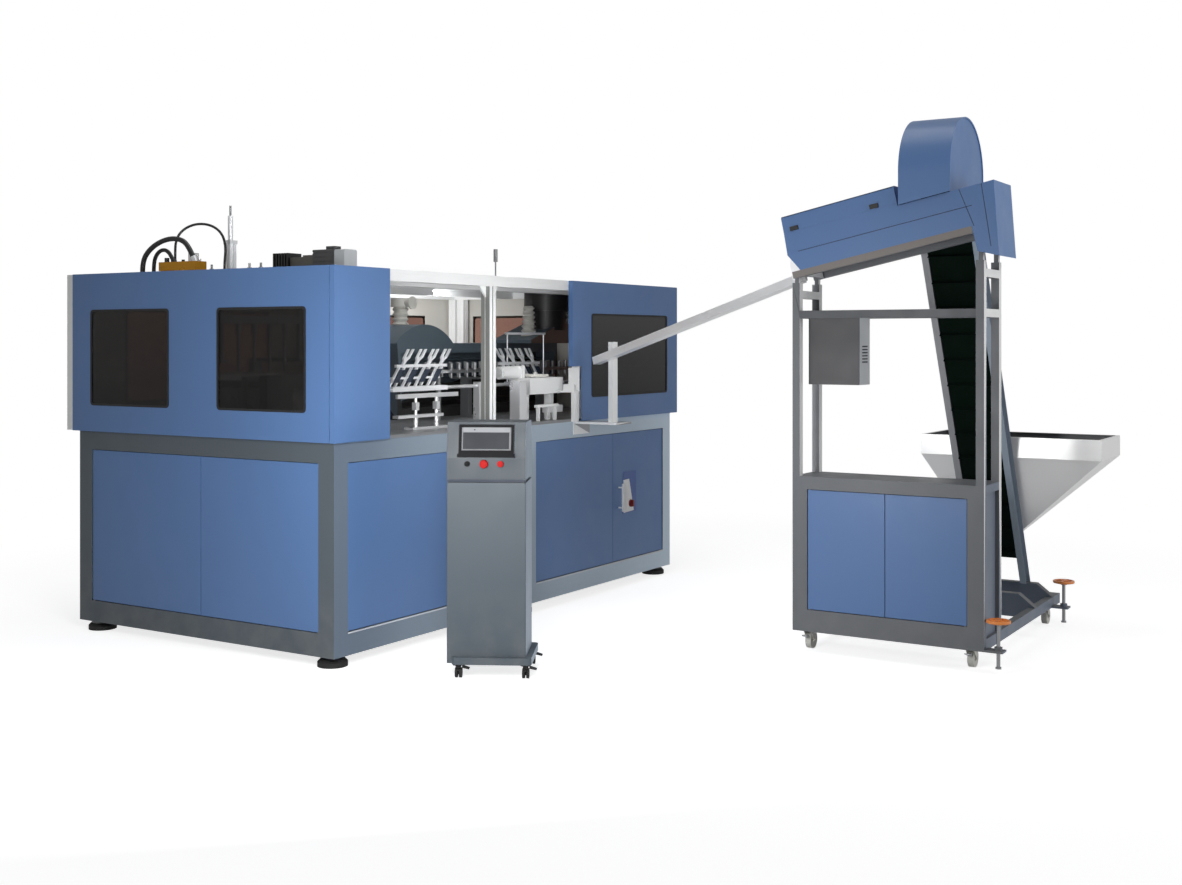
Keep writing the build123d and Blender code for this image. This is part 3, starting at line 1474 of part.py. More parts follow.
def make_stand_casters():
    wheel = 24.0
    with BuildPart() as casters:
        for sx in (-1, 1):
            for sy in (-1, 1):
                seat = stand_plane(sx * stand_caster_x, sy * stand_caster_y, stand_floor)
                with BuildSketch(seat) as plate:
                    Rectangle(44, 44)
                extrude(plate.sketch, amount=-5)
                with BuildSketch(seat.offset(-5)) as horn:
                    Circle(15)
                extrude(horn.sketch, amount=-16, taper=10)
                side = stand_side(sx * stand_caster_x)
                for across in (-16, 4):
                    with BuildSketch(side.offset(across)) as disc:
                        with Locations((sy * stand_caster_y + 10, wheel)):
                            Circle(wheel)
                    extrude(disc.sketch, amount=12)
                with BuildSketch(side.offset(-5)) as hub:
                    with Locations((sy * stand_caster_y + 6, wheel + 8)):
                        Rectangle(20, 30)
                    with Locations((sy * stand_caster_y - 22, wheel + 20)):
                        Rectangle(34, 6)
                extrude(hub.sketch, amount=10)
    save(casters, "stand_casters")


def make_switch_knob():
    face = upright((front_right_split + sheet + end_of_front() - door_gap) / 2, door_recess,
                   (sill_top + rail_bottom) / 2, "front")
    with BuildPart() as knob:
        with BuildSketch(face.offset(3.3)) as dial:
            with Locations((switch_x + 26, -55)):
                Circle(24)
        extrude(dial.sketch, amount=9)
        with BuildSketch(face.offset(12.3)) as grip:
            with Locations((switch_x + 26, -55)):
                SlotOverall(44, 13, rotation=90)
        extrude(grip.sketch, amount=16)
    save(knob, "main_switch_knob")


def main():
    os.makedirs("parts", exist_ok=True)
    make_base_frame()
    make_table_plate()
    make_levelling_feet()
    make_doors()
    make_guard_frame()
    make_guards()
    make_clamp_frame()
    make_mould_half("mould_half_front", -1)
    make_mould_half("mould_half_rear", 1)
    make_stretch_gear()
    make_valve_block()
    make_top_motor()
    make_hoses()
    make_transfer_rail()
    make_carriage("gripper_carriage_left", carriage_left_x, gripper_pitch_left, gripper_lean, False)
    make_carriage("gripper_carriage_right", carriage_right_x, gripper_pitch_right, -gripper_lean, True)
    make_infeed_unit()
    make_oven()
    make_oven_blower()
    make_chain()
    make_feeder_frame()
    make_rollers()
    make_head_cover()
    make_head_lid()
    make_arch_hood()
    make_elevator_frame()
    make_elevator_belt()
    make_drums()
    make_hopper()
    make_control_box()
    make_feeder_casters()
    make_screws()
    make_chute()
    make_stand()
    make_buttons()
    make_stand_casters()
    make_switch_knob()


main()
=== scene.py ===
"""Looks of a two-stage blow moulding machine with its control stand and its preform feeder."""
import math

import bmesh
import bpy
from mathutils import Matrix, Vector


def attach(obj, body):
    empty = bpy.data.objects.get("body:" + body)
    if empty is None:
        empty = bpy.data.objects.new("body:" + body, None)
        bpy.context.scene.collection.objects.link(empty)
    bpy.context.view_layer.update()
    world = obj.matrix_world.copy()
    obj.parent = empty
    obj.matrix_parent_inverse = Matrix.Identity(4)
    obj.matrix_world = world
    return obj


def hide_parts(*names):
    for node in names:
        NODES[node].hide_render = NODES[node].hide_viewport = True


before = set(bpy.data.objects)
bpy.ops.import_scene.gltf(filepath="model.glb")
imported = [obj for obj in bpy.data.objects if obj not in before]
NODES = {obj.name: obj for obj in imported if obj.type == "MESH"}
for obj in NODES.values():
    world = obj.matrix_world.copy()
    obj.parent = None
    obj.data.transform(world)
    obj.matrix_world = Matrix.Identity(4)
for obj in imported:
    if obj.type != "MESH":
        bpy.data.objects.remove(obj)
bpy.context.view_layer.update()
MACHINE = "machine"

# The corner of the machine in the row frame, in millimetres: details are placed from that corner.
CORNER = (-1705.0, 564.5)


def at(x, y, z):
    """A point given in millimetres from the machine's front left corner, in the row frame."""
    return Vector(((x + CORNER[0]) / 1000, (y + CORNER[1]) / 1000, z / 1000))


# Camera: level, at eye height, with the photograph's view angle

PHOTO_WIDTH, PHOTO_HEIGHT = 1182, 885
FOCAL_LENGTH = 1400.3                # in pixels of the photograph
HORIZON_ROW = 340.16                 # counted from the photograph's top edge
EYE = (-6.805, -4.060, 1.6)
HEADING = -58.205                    # degrees from the row's y axis

camera_data = bpy.data.cameras.new("camera")
camera_data.sensor_width = 36.0
camera_data.lens = FOCAL_LENGTH * camera_data.sensor_width / PHOTO_WIDTH
camera_data.shift_y = -(PHOTO_HEIGHT / 2 - HORIZON_ROW) / PHOTO_WIDTH
camera_data.clip_end = 200.0
camera = bpy.data.objects.new("camera", camera_data)
camera.location = EYE
camera.rotation_euler = (math.radians(90), 0, math.radians(HEADING))
bpy.context.scene.collection.objects.link(camera)
bpy.context.scene.camera = camera


# Materials

DUST = (0.32, 0.31, 0.29, 1.0)
DUST_HEIGHT = 0.45                   # metres above the floor at which the dust ends
GRAIN_SHADE = 0.82                   # how dark the specks of the grain are
COAT_ROUGHNESS = 0.15
ACRYLIC_IOR = 1.3


def linear(red, green, blue):
    """A colour given as 0 to 255 on screen, in scene values."""
    def one(value):
        value /= 255
        return value / 12.92 if value <= 0.04045 else ((value + 0.055) / 1.055) ** 2.4
    return one(red), one(green), one(blue), 1.0


def shade(colour, factor):
    """The colour made darker or lighter by a factor."""
    return tuple(min(1.0, c * factor) for c in colour[:3]) + (1.0,)


class Tree:
    """A node tree, with short calls that add, join and reckon."""

    def __init__(self, tree):
        self.tree = tree

    def add(self, kind, **settings):
        node = self.tree.nodes.new(kind)
        for key, value in settings.items():
            setattr(node, key, value)
        return node

    def link(self, source, target):
        self.tree.links.new(source, target)

    def feed(self, socket, value):
        """Give an input a number, a colour or another node's output."""
        if isinstance(value, (float, tuple)):
            socket.default_value = value
        else:
            self.link(value, socket)

    def maths(self, operation, first, second):
        node = self.add("ShaderNodeMath", operation=operation)
        self.feed(node.inputs[0], first)
        self.feed(node.inputs[1], second)
        return node.outputs["Value"]

    def ranged(self, value, low, high, start=0.3, end=0.7, **settings):
        """The value carried over from between start and end to between low and high."""
        node = self.add("ShaderNodeMapRange", **settings)
        node.inputs["From Min"].default_value = start
        node.inputs["From Max"].default_value = end
        node.inputs["To Min"].default_value = low
        node.inputs["To Max"].default_value = high
        self.link(value, node.inputs["Value"])
        return node.outputs["Result"]


class Surface(Tree):
    """A material's node tree, with the nodes that all finishes share."""

    def __init__(self, name):
        self.material = bpy.data.materials.new(name)
        self.material.use_nodes = True
        super().__init__(self.material.node_tree)
        self.shader = self.tree.nodes["Principled BSDF"]
        self.place = self.add("ShaderNodeTexCoord").outputs["Object"]

    def along(self, axis):
        """How far a point lies along one axis, in metres."""
        split = self.add("ShaderNodeSeparateXYZ")
        self.link(self.place, split.inputs["Vector"])
        return split.outputs[axis]

    def noise(self, scale, detail=2.0, stretch=(1, 1, 1)):
        mapping = self.add("ShaderNodeMapping")
        mapping.inputs["Scale"].default_value = stretch
        self.link(self.place, mapping.inputs["Vector"])
        node = self.add("ShaderNodeTexNoise")
        node.inputs["Scale"].default_value = scale
        node.inputs["Detail"].default_value = detail
        self.link(mapping.outputs["Vector"], node.inputs["Vector"])
        return node.outputs["Fac"]

    def mixed(self, share, first, second):
        node = self.add("ShaderNodeMix", data_type="RGBA")
        self.feed(node.inputs["Factor"], share)
        self.feed(node.inputs["A"], first)
        self.feed(node.inputs["B"], second)
        return node.outputs["Result"]

    def dress(self, colour, roughness):
        self.feed(self.shader.inputs["Base Color"], colour)
        self.feed(self.shader.inputs["Roughness"], roughness)

    def bumped(self, height, strength, distance):
        node = self.add("ShaderNodeBump")
        node.inputs["Strength"].default_value = strength
        node.inputs["Distance"].default_value = distance
        self.link(height, node.inputs["Height"])
        self.link(node.outputs["Normal"], self.shader.inputs["Normal"])


def finish(name, colour, rough=0.5, metal=0.0, spread=0.05, patch=1.4, grain=800.0, bump=0.08,
           depth=0.0004, stretch=(1, 1, 1), rough_spread=0.06, dust=0.0, coat=0.0, gloss=0.5):
    """A surface: mottled colour, uneven gloss and a fine grain, with dust towards the floor."""
    colour = linear(*colour)
    surface = Surface(name)
    shader = surface.shader
    broad = surface.noise(patch, 3.0)
    tone = surface.mixed(surface.ranged(broad, 0.0, 1.0),
                         shade(colour, 1 - spread), shade(colour, 1 + spread))
    fine = surface.noise(grain, 2.0, stretch)
    specks = surface.ranged(fine, 0.0, 0.35 * min(1.0, spread * 6))
    tone = surface.mixed(specks, tone, shade(colour, GRAIN_SHADE))
    if dust:
        low = surface.ranged(surface.along("Z"), dust, 0.0, 0.0, DUST_HEIGHT)
        cloud = surface.ranged(surface.noise(9.0, 5.0), 0.0, 1.0, 0.35, 0.75)
        tone = surface.mixed(surface.maths("MULTIPLY", low, cloud), tone, DUST)
    sheen = surface.noise(patch * 6, 4.0, stretch)
    surface.dress(tone, surface.ranged(sheen, max(0.02, rough - rough_spread),
                                       rough + rough_spread))
    shader.inputs["Metallic"].default_value = metal
    shader.inputs["Specular IOR Level"].default_value = gloss
    if coat:
        shader.inputs["Coat Weight"].default_value = coat
        shader.inputs["Coat Roughness"].default_value = COAT_ROUGHNESS
    surface.bumped(fine, bump, depth)
    return surface.material


def smoked_pane(name, first, second, foot=None, clear=1.0):
    """Tinted acrylic; where its foot's height is given, painted shade darkens it towards that
    foot.
    """
    surface = Surface(name)
    if foot is None:
        share = surface.ranged(surface.noise(1.1, 2.0), 0.0, 1.0)
    else:
        share = surface.ranged(surface.along("Z"), 0.0, 1.0, foot, foot + 0.5)
    surface.dress(surface.mixed(share, linear(*first), linear(*second)),
                  surface.ranged(surface.noise(14.0, 3.0), 0.05, 0.11))
    surface.shader.inputs["Transmission Weight"].default_value = clear
    surface.shader.inputs["IOR"].default_value = ACRYLIC_IOR
    surface.bumped(surface.noise(3.0, 1.0), 0.05, 0.002)
    return surface.material


def painted_light_ramp(name, first, second):
    """A satin paint with painted light: it lightens along the machine, as its front rails do in
    the light.
    """
    first, second = linear(*first), linear(*second)
    surface = Surface(name)
    share = surface.ranged(surface.along("X"), 0.0, 1.0, -1.7, 1.7)
    fine = surface.noise(800.0, 2.0)
    tone = surface.mixed(share, first, second)
    surface.dress(surface.mixed(surface.ranged(fine, 0.0, 0.12), tone, first),
                  surface.ranged(surface.noise(8.0, 4.0), 0.44, 0.56))
    surface.bumped(fine, 0.08, 0.0004)
    return surface.material


BRUSHED = (0.02, 1, 1)
FINISHES = {
    # Paints of the machine
    "blue_paint": dict(colour=(87, 122, 173), rough=0.42, spread=0.035, grain=700.0, bump=0.06,
                       coat=0.12),
    "grey_paint": dict(colour=(82, 91, 98), dust=0.25),
    "white_paint": dict(colour=(248, 249, 249), rough=0.45, spread=0.03, bump=0.06),
    "light_grey": dict(colour=(212, 216, 220), rough=0.4, spread=0.03, bump=0.05),
    "post_grey": dict(colour=(170, 171, 175), rough=0.45, spread=0.04, bump=0.06),
    # A darker copy of the frame's paint for the shaded sides of posts: painted shade.
    "post_painted_shade": dict(colour=(138, 140, 137), rough=0.45, spread=0.04, bump=0.06),
    "inner_panel": dict(colour=(212, 209, 202), grain=700.0, bump=0.06),
    "oven_body": dict(colour=(88, 102, 112), grain=700.0),
    "oven_dark": dict(colour=(38, 38, 38), rough=0.6, spread=0.1, grain=700.0, bump=0.1),
    "rail_brown": dict(colour=(112, 94, 86), spread=0.08, grain=600.0, bump=0.1),
    "motor_paint": dict(colour=(98, 96, 90), spread=0.08, grain=700.0, bump=0.15),
    "dark_paint": dict(colour=(84, 84, 86), rough=0.55, spread=0.06, bump=0.12),
    "dark_seam_and_shadow": dict(colour=(34, 44, 60), rough=0.6, spread=0.08, grain=700.0, bump=0.1),
    "recess_blue": dict(colour=(84, 108, 168), spread=0.04, grain=700.0, bump=0.06),
    # Paints of the control stand and its screen
    "stand_grey": dict(colour=(70, 80, 88), spread=0.04, dust=0.2),
    # A much lighter copy of the stand's grey for its lit side: painted light.
    "painted_light_side": dict(colour=(172, 187, 202), spread=0.04),
    "console_grey": dict(colour=(50, 60, 68), spread=0.04),
    "bezel_black": dict(colour=(34, 34, 36), rough=0.7, spread=0.08, grain=900.0, bump=0.05,
                        gloss=0.08),
    "screen_frame": dict(colour=(128, 129, 132), rough=0.6, spread=0.03, bump=0.04, gloss=0.15),
    "screen_bar": dict(colour=(150, 152, 156), rough=0.6, spread=0.03, bump=0.04, gloss=0.15),
    "screen_glass": dict(colour=(46, 48, 54), grain=900.0, bump=0.02, gloss=0.15),
    # Paints of the feeder
    "feeder_grey_paint": dict(colour=(106, 109, 113), dust=0.2),
    # A lighter copy of the feeder's grey for its lit faces: painted light; a darker one for the
    # middle beam: painted shade.
    "feeder_painted_light": dict(colour=(112, 122, 138), spread=0.04, bump=0.06),
    "beam_painted_shade": dict(colour=(82, 85, 89)),
    "head_rail": dict(colour=(130, 124, 120)),
    # Rubber and plastic
    "rubber_black": dict(colour=(24, 24, 25), rough=0.75, spread=0.15, grain=500.0, bump=0.25),
    "belt_rubber": dict(colour=(5, 20, 13), rough=0.85, spread=0.2, grain=260.0, bump=0.4,
                        depth=0.0008, gloss=0.1),
    "hose_black": dict(colour=(22, 22, 23), rough=0.4, spread=0.12, grain=500.0, bump=0.1),
    "plastic_black": dict(colour=(26, 26, 28), rough=0.45, spread=0.1, grain=1200.0),
    "plastic_white": dict(colour=(222, 221, 214), grain=600.0, bump=0.1),
    "plastic_orange": dict(colour=(255, 150, 72), rough=0.32, spread=0.06, grain=900.0,
                           bump=0.06, coat=0.2),
    "plastic_red": dict(colour=(172, 14, 12), rough=0.6, grain=900.0, bump=0.05, gloss=0.2),
    "knob_red": dict(colour=(112, 16, 20), rough=0.35, spread=0.06, grain=900.0, bump=0.05,
                     coat=0.2),
    # Metals
    "steel": dict(colour=(150, 152, 154), rough=0.42, metal=0.75, spread=0.1, grain=420.0,
                  bump=0.12, stretch=BRUSHED, rough_spread=0.1),
    "stainless": dict(colour=(255, 255, 255), rough=0.36, metal=0.5, spread=0.04, grain=500.0,
                      bump=0.04, stretch=BRUSHED, rough_spread=0.04),
    # A darker copy of the stainless for the hopper's inside: painted shade.
    "hopper_painted_shade": dict(colour=(112, 114, 116), rough=0.45, metal=0.35, grain=500.0,
                          bump=0.04, stretch=BRUSHED, rough_spread=0.04),
    "aluminium": dict(colour=(242, 244, 247), rough=0.36, metal=0.45, grain=520.0, bump=0.1,
                      stretch=BRUSHED, rough_spread=0.08),
    "bright_steel": dict(colour=(222, 223, 225), rough=0.3, metal=0.6, spread=0.04,
                         grain=600.0, bump=0.05, stretch=BRUSHED, rough_spread=0.05),
    "brass": dict(colour=(184, 130, 28), rough=0.34, metal=0.7, spread=0.1, grain=500.0,
                  bump=0.1, stretch=BRUSHED, rough_spread=0.1),
}
LOOKS = {name: finish(name, **settings) for name, settings in FINISHES.items()}
# Painted light: the front rails' paint lightens from the machine's left end to its right end.
LOOKS["front_rail_painted_light"] = painted_light_ramp("front_rail_painted_light", (98, 112, 128), (222, 240, 255))
LOOKS["window_smoke"] = smoked_pane("window_smoke", (112, 84, 76), (140, 106, 94))
LOOKS["window_dark"] = smoked_pane("window_dark", (66, 62, 60), (74, 70, 67))
# The front pane is painted darker towards its foot: painted shade.
LOOKS["window_front"] = smoked_pane("window_front", (18, 18, 22), (72, 72, 73), 1.24, 0.25)


# Cords first: the three hoses on the roof, on the routes that their solids follow

HOSES = {
    # name: (CAD node, radius and length in metres, route in millimetres from the corner)
    "hose_rear": ("air_hose_1", 0.014, 0.513, [
        (200, 1592, 1979), (200, 1592, 2040), (206, 1546, 2100), (213, 1470, 2142),
        (220, 1382, 2160), (227, 1300, 2147), (230, 1254, 2103), (230, 1224, 2053)]),
    "hose_front": ("air_hose_2", 0.011, 0.2882, [
        (256, 1566, 1979), (256, 1566, 2029), (250, 1541, 2072), (244, 1498, 2098),
        (238, 1448, 2099), (232, 1405, 2074), (232, 1383.4, 2038)]),
    "hose_thin": ("air_line", 0.007, 0.639, [
        (265, 1404, 2043), (265, 1404, 2090), (275, 1412, 2142), (292, 1404, 2188),
        (314, 1376, 2222), (340, 1330, 2243), (366, 1276, 2244), (388, 1226, 2226),
        (402, 1188, 2190), (407, 1168, 2144), (408, 1163, 2092), (408, 1172, 2030),
        (408, 1172, 1979)]),
}


def curve_object(name, points, radius, material):
    """A smooth round line through given control points."""
    data = bpy.data.curves.new(name, "CURVE")
    data.dimensions = "3D"
    data.resolution_u = 8
    data.bevel_depth = radius
    data.bevel_resolution = 5
    data.use_fill_caps = True
    spline = data.splines.new("NURBS")
    spline.points.add(len(points) - 1)
    for target, point in zip(spline.points, points):
        target.co = (*point, 1.0)
    spline.order_u = 3
    spline.use_endpoint_u = True
    data.materials.append(material)
    piece = bpy.data.objects.new(name, data)
    bpy.context.scene.collection.objects.link(piece)
    return piece


for name, (node, radius, length, route) in HOSES.items():
    hose = curve_object(name, [at(*point) for point in route], radius, LOOKS["hose_black"])
    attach(hose, MACHINE)
    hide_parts(node)
    at(*route[0])


# Finishes of the CAD nodes

NODE_LOOKS = {
    "blue_paint": ["left_end_guard", "left_corner_guard", "right_front_guard", "rear_panels",
                   "head_cover", "arch_hood", "head_lid", "front_door_1", "front_door_2",
                   "front_door_3", "front_door_4", "end_door_front", "end_door_rear",
                   "feeder_door_far", "feeder_door_near"],
    "grey_paint": ["base_frame"],
    "oven_body": ["oven_housing"],
    "stand_grey": ["stand_body"],
    "console_grey": ["stand_console"],
    "feeder_grey_paint": ["feeder_frame"],
    # The elevator frame gets the feeder's lighter grey: painted light.
    "feeder_painted_light": ["elevator_frame"],
    "white_paint": ["guard_frame", "infeed_unit"],
    "window_smoke": ["guard_windows"],
    "rubber_black": ["levelling_feet", "stand_casters"],
    "belt_rubber": ["elevator_belt"],
    "bezel_black": ["selector_knob"],
    "plastic_white": ["feeder_casters", "oven_blower", "star_wheel"],
    "plastic_orange": ["levelling_screw_near", "levelling_screw_far"],
    "plastic_red": ["emergency_stop", "start_button"],
    "knob_red": ["main_switch_knob"],
    "steel": ["table_plate", "door_pivots", "clamp_frame", "preform_chain",
              "stretch_crosshead", "chain_wheel", "elevator_drum_bottom",
              "elevator_drum_top"],
    "stainless": ["hopper", "preform_chute"],
    "aluminium": ["stretch_cylinder", "mould_half_front", "mould_half_rear",
                  "gripper_carriage_left", "gripper_carriage_right"],
    "bright_steel": ["transfer_rail", "sorting_roller_front", "sorting_roller_rear"],
    "brass": ["valve_block"],
    "motor_paint": ["top_motor"],
    "dark_paint": ["control_box"],
}

for look, names in NODE_LOOKS.items():
    for name in names:
        mesh = NODES[name].data
        mesh.materials.clear()
        mesh.materials.append(LOOKS[look])


def repaint(node, look, test):
    """Give another finish to the faces of a CAD node whose middle and normal pass a test.

    The test gets the face's middle in millimetres from the machine's corner, and its normal.
    """
    mesh = NODES[node].data
    slot = mesh.materials.find(LOOKS[look].name)
    if slot < 0:
        mesh.materials.append(LOOKS[look])
        slot = len(mesh.materials) - 1
    for face in mesh.polygons:
        middle = face.center
        x, y, z = middle.x * 1000 - CORNER[0], middle.y * 1000 - CORNER[1], middle.z * 1000
        if test(x, y, z, face.normal):
            face.material_index = slot


# Gripper carriages: each has a row of arms that lean along the bar under them
BAR_TOP = 1344.0
GRIPPERS = {
    # node: (first arm, distance between arms, lean per millimetre of height)
    "gripper_carriage_left": (836.0, 112.0, 0.8),
    "gripper_carriage_right": (1993.5, 105.0, -0.8),
}


def in_valve_body(node):
    """A test for the dark body between a gripper's two leaning arms."""
    first, pitch, lean = GRIPPERS[node]

    def test(x, y, z, n):
        up = z - BAR_TOP
        across = (x - first - lean * up + pitch / 2) % pitch - pitch / 2
        on_bolt = 39 < up < 53 and 328 < y < 348
        return 21 < up < 93 and abs(across) < 19.6 and not on_bolt
    return test


# Control stand: it stands turned, and the upper part of its console leans back
STAND_TURN = math.radians(28.6)
STAND_RIGHT = (math.sin(STAND_TURN), -math.cos(STAND_TURN), 0)
STAND_BACK = (math.cos(STAND_TURN), math.sin(STAND_TURN), 0)
STAND_PLACE = (416.5, -663.0)        # the middle of its base
BODY_SHIFT = -28                     # the body's middle line, across from the base's middle
BODY_FRONT = -145                    # the body's front, measured backwards from that middle
SLOPE_FOOT = 1040                    # the height at which the console's face begins to lean
SLOPE = 32 / 170


def on_stand(across, back, up):
    """A point of the control stand, in millimetres from the machine's corner."""
    return (STAND_PLACE[0] + STAND_RIGHT[0] * across + STAND_BACK[0] * back,
            STAND_PLACE[1] + STAND_RIGHT[1] * across + STAND_BACK[1] * back, up)


def console_face(z):
    """How far the console's sloping face lies behind the base's middle at a height."""
    return (z - SLOPE_FOOT) * SLOPE + BODY_FRONT


def on_bezel(x, y, z, n):
    """A test for the screen's bezel, which stands out from the console's sloping face."""
    back = (x - STAND_PLACE[0]) * STAND_BACK[0] + (y - STAND_PLACE[1]) * STAND_BACK[1]
    return z > SLOPE_FOOT and n.z < 0.9 and back < console_face(z) - 1


def on_stand_side(x, y, z, n):
    """A test for the faces on the stand's right side."""
    return n.x * STAND_RIGHT[0] + n.y * STAND_RIGHT[1] > 0.95


# Machine: heights and places, in millimetres, at which a node changes its finish
PAD_TOP = 37                         # top of the levelling feet's rubber pads
TABLE_TOP = 1102
ROOF = 1964
BRASS_TOP = 2029.5                   # top of the valve block's brass body
POST_TOP = 1903                      # top of the guard frame's centre posts
CENTRE_POST = (1270, 1350)
LAMP_TOP = 1345                      # the oven is dark below it
DOOR_FACE = 4.5                      # only handles stand out before it
MOTOR_PARTS = (414, 566, 744)        # between the roof drive's cap, case, coupling and gearbox
FAN = (2756, 3070)
WINDOW_LEDGE = (1225, 1262)

repaint("levelling_feet", "steel", lambda x, y, z, n: z > PAD_TOP)
# The base frame's front faces get the painted light gradient.
repaint("base_frame", "front_rail_painted_light", lambda x, y, z, n: n.y < -0.9 and y < 1)
repaint("front_door_4", "white_paint", lambda x, y, z, n: y < DOOR_FACE and x < 2730)

# Guards: darker panes to the left and in front, pale sheet inside, black window ledges
repaint("guard_windows", "window_dark", lambda x, y, z, n: x < 0)
repaint("guard_windows", "window_front", lambda x, y, z, n: y < 0)
repaint("rear_panels", "inner_panel", lambda x, y, z, n: n.y < -0.5 and z > TABLE_TOP and x > 0)
repaint("rear_panels", "inner_panel",
        lambda x, y, z, n: n.x < -0.5 and z > TABLE_TOP and x > 3380)
repaint("guard_frame", "steel", lambda x, y, z, n: z > ROOF)
# The left sides of the centre posts are painted darker grey: painted shade.
repaint("guard_frame", "post_painted_shade",
        lambda x, y, z, n: n.x < -0.9 and CENTRE_POST[0] < x < CENTRE_POST[1] and z < POST_TOP)
for guard in ("left_end_guard", "right_front_guard"):
    repaint(guard, "rubber_black",
            lambda x, y, z, n: n.z > 0.9 and WINDOW_LEDGE[0] < z < WINDOW_LEDGE[1])

# Fittings on the roof: the black and bright parts on the brass body, and the servo drive
repaint("valve_block", "plastic_black", lambda x, y, z, n: z > BRASS_TOP)
repaint("valve_block", "bright_steel", lambda x, y, z, n: BRASS_TOP < z < 2066 and y < 1310)
repaint("top_motor", "light_grey", lambda x, y, z, n: y < MOTOR_PARTS[0])
repaint("top_motor", "dark_paint", lambda x, y, z, n: MOTOR_PARTS[0] < y < MOTOR_PARTS[1])
repaint("top_motor", "plastic_black", lambda x, y, z, n: y > MOTOR_PARTS[2])

# Inside: the blower's fan, the oven with its hood's front, the chute's post, the grippers
repaint("oven_blower", "plastic_black",
        lambda x, y, z, n: FAN[0] < x < FAN[1] and z > 1500)
repaint("oven_housing", "oven_dark", lambda x, y, z, n: z < LAMP_TOP)
repaint("oven_housing", "rail_brown", lambda x, y, z, n: x > 2540 and z > 1580 and n.y < -0.5)
repaint("infeed_unit", "post_grey", lambda x, y, z, n: x > 2230)
for carriage in GRIPPERS:
    repaint(carriage, "dark_seam_and_shadow", in_valve_body(carriage))

# Control stand
repaint("stand_console", "bezel_black", on_bezel)
# The stand's right side is painted much lighter than its front: painted light.
repaint("stand_body", "painted_light_side", on_stand_side)
repaint("stand_console", "painted_light_side", on_stand_side)

# Feeder: heights and places, in millimetres, at which a node changes its finish
WHEEL_TOP = 88                       # the casters' plastic wheels end below it
HAND_WHEEL = 244                     # the levelling screws' plastic wheels lie above it
ABOVE_CABINET = 1000
BASE_TOP = 330                       # rails between the casters
BACK_POSTS = 1800                    # the posts at the cabinet's back stand beyond it
MIDDLE_BEAM = (1650, 1800)
HEAD_RAIL = 1880
NEAR_CHANNEL = -2400                 # the elevator's channel on the cabinet's side lies beyond
BOX_FRONT = -2022                    # behind it lie the floors of the control box's vents
HOPPER_MIDDLE = (2846, -2530)

repaint("feeder_casters", "steel", lambda x, y, z, n: z > WHEEL_TOP)
for screw in ("levelling_screw_near", "levelling_screw_far"):
    repaint(screw, "steel", lambda x, y, z, n: z < HAND_WHEEL)
# The feeder frame's faces towards the near side are painted lighter and bluer, and white above
# the cabinet: painted light.
repaint("feeder_frame", "feeder_painted_light", lambda x, y, z, n: n.y < -0.9)
repaint("feeder_frame", "white_paint", lambda x, y, z, n: z > ABOVE_CABINET and n.y < -0.9)
# The left faces of the back base rails get the same lighter grey: painted light.
repaint("feeder_frame", "feeder_painted_light",
        lambda x, y, z, n: z < BASE_TOP and x > BACK_POSTS and n.x < -0.5)
# The left faces of the posts at the cabinet's back are painted lighter grey: painted light.
repaint("feeder_frame", "post_grey",
        lambda x, y, z, n: z > ABOVE_CABINET and x > BACK_POSTS and y > -2000 and n.x < -0.9)
# The left face of the middle beam is painted darker grey: painted shade.
repaint("feeder_frame", "beam_painted_shade",
        lambda x, y, z, n: MIDDLE_BEAM[0] < z < MIDDLE_BEAM[1] and n.x < -0.9)
repaint("feeder_frame", "head_rail",
        lambda x, y, z, n: z > HEAD_RAIL and x < 1581 and n.x < -0.9)
# The elevator frame's downward faces get lighter paint: painted light, pale blue near the
# cabinet's side and light grey beyond the near channel.
repaint("elevator_frame", "painted_light_side", lambda x, y, z, n: n.z < -0.2)
repaint("elevator_frame", "feeder_grey_paint", lambda x, y, z, n: y > NEAR_CHANNEL)
repaint("elevator_frame", "post_grey", lambda x, y, z, n: y > NEAR_CHANNEL and n.z < -0.2)
repaint("head_lid", "plastic_black", lambda x, y, z, n: x < 1579.5)
repaint("control_box", "light_grey", lambda x, y, z, n: n.y < -0.5 and y < BOX_FRONT)
repaint("control_box", "dark_seam_and_shadow", lambda x, y, z, n: n.y < -0.5 and y > BOX_FRONT)
# The hopper's inner faces are painted darker: painted shade inside the funnel.
repaint("hopper", "hopper_painted_shade",
        lambda x, y, z, n: (n.x * (HOPPER_MIDDLE[0] - x) + n.y * (HOPPER_MIDDLE[1] - y) > 0
                            and -0.1 < n.z < 0.95))


# Thin details on the CAD nodes' faces

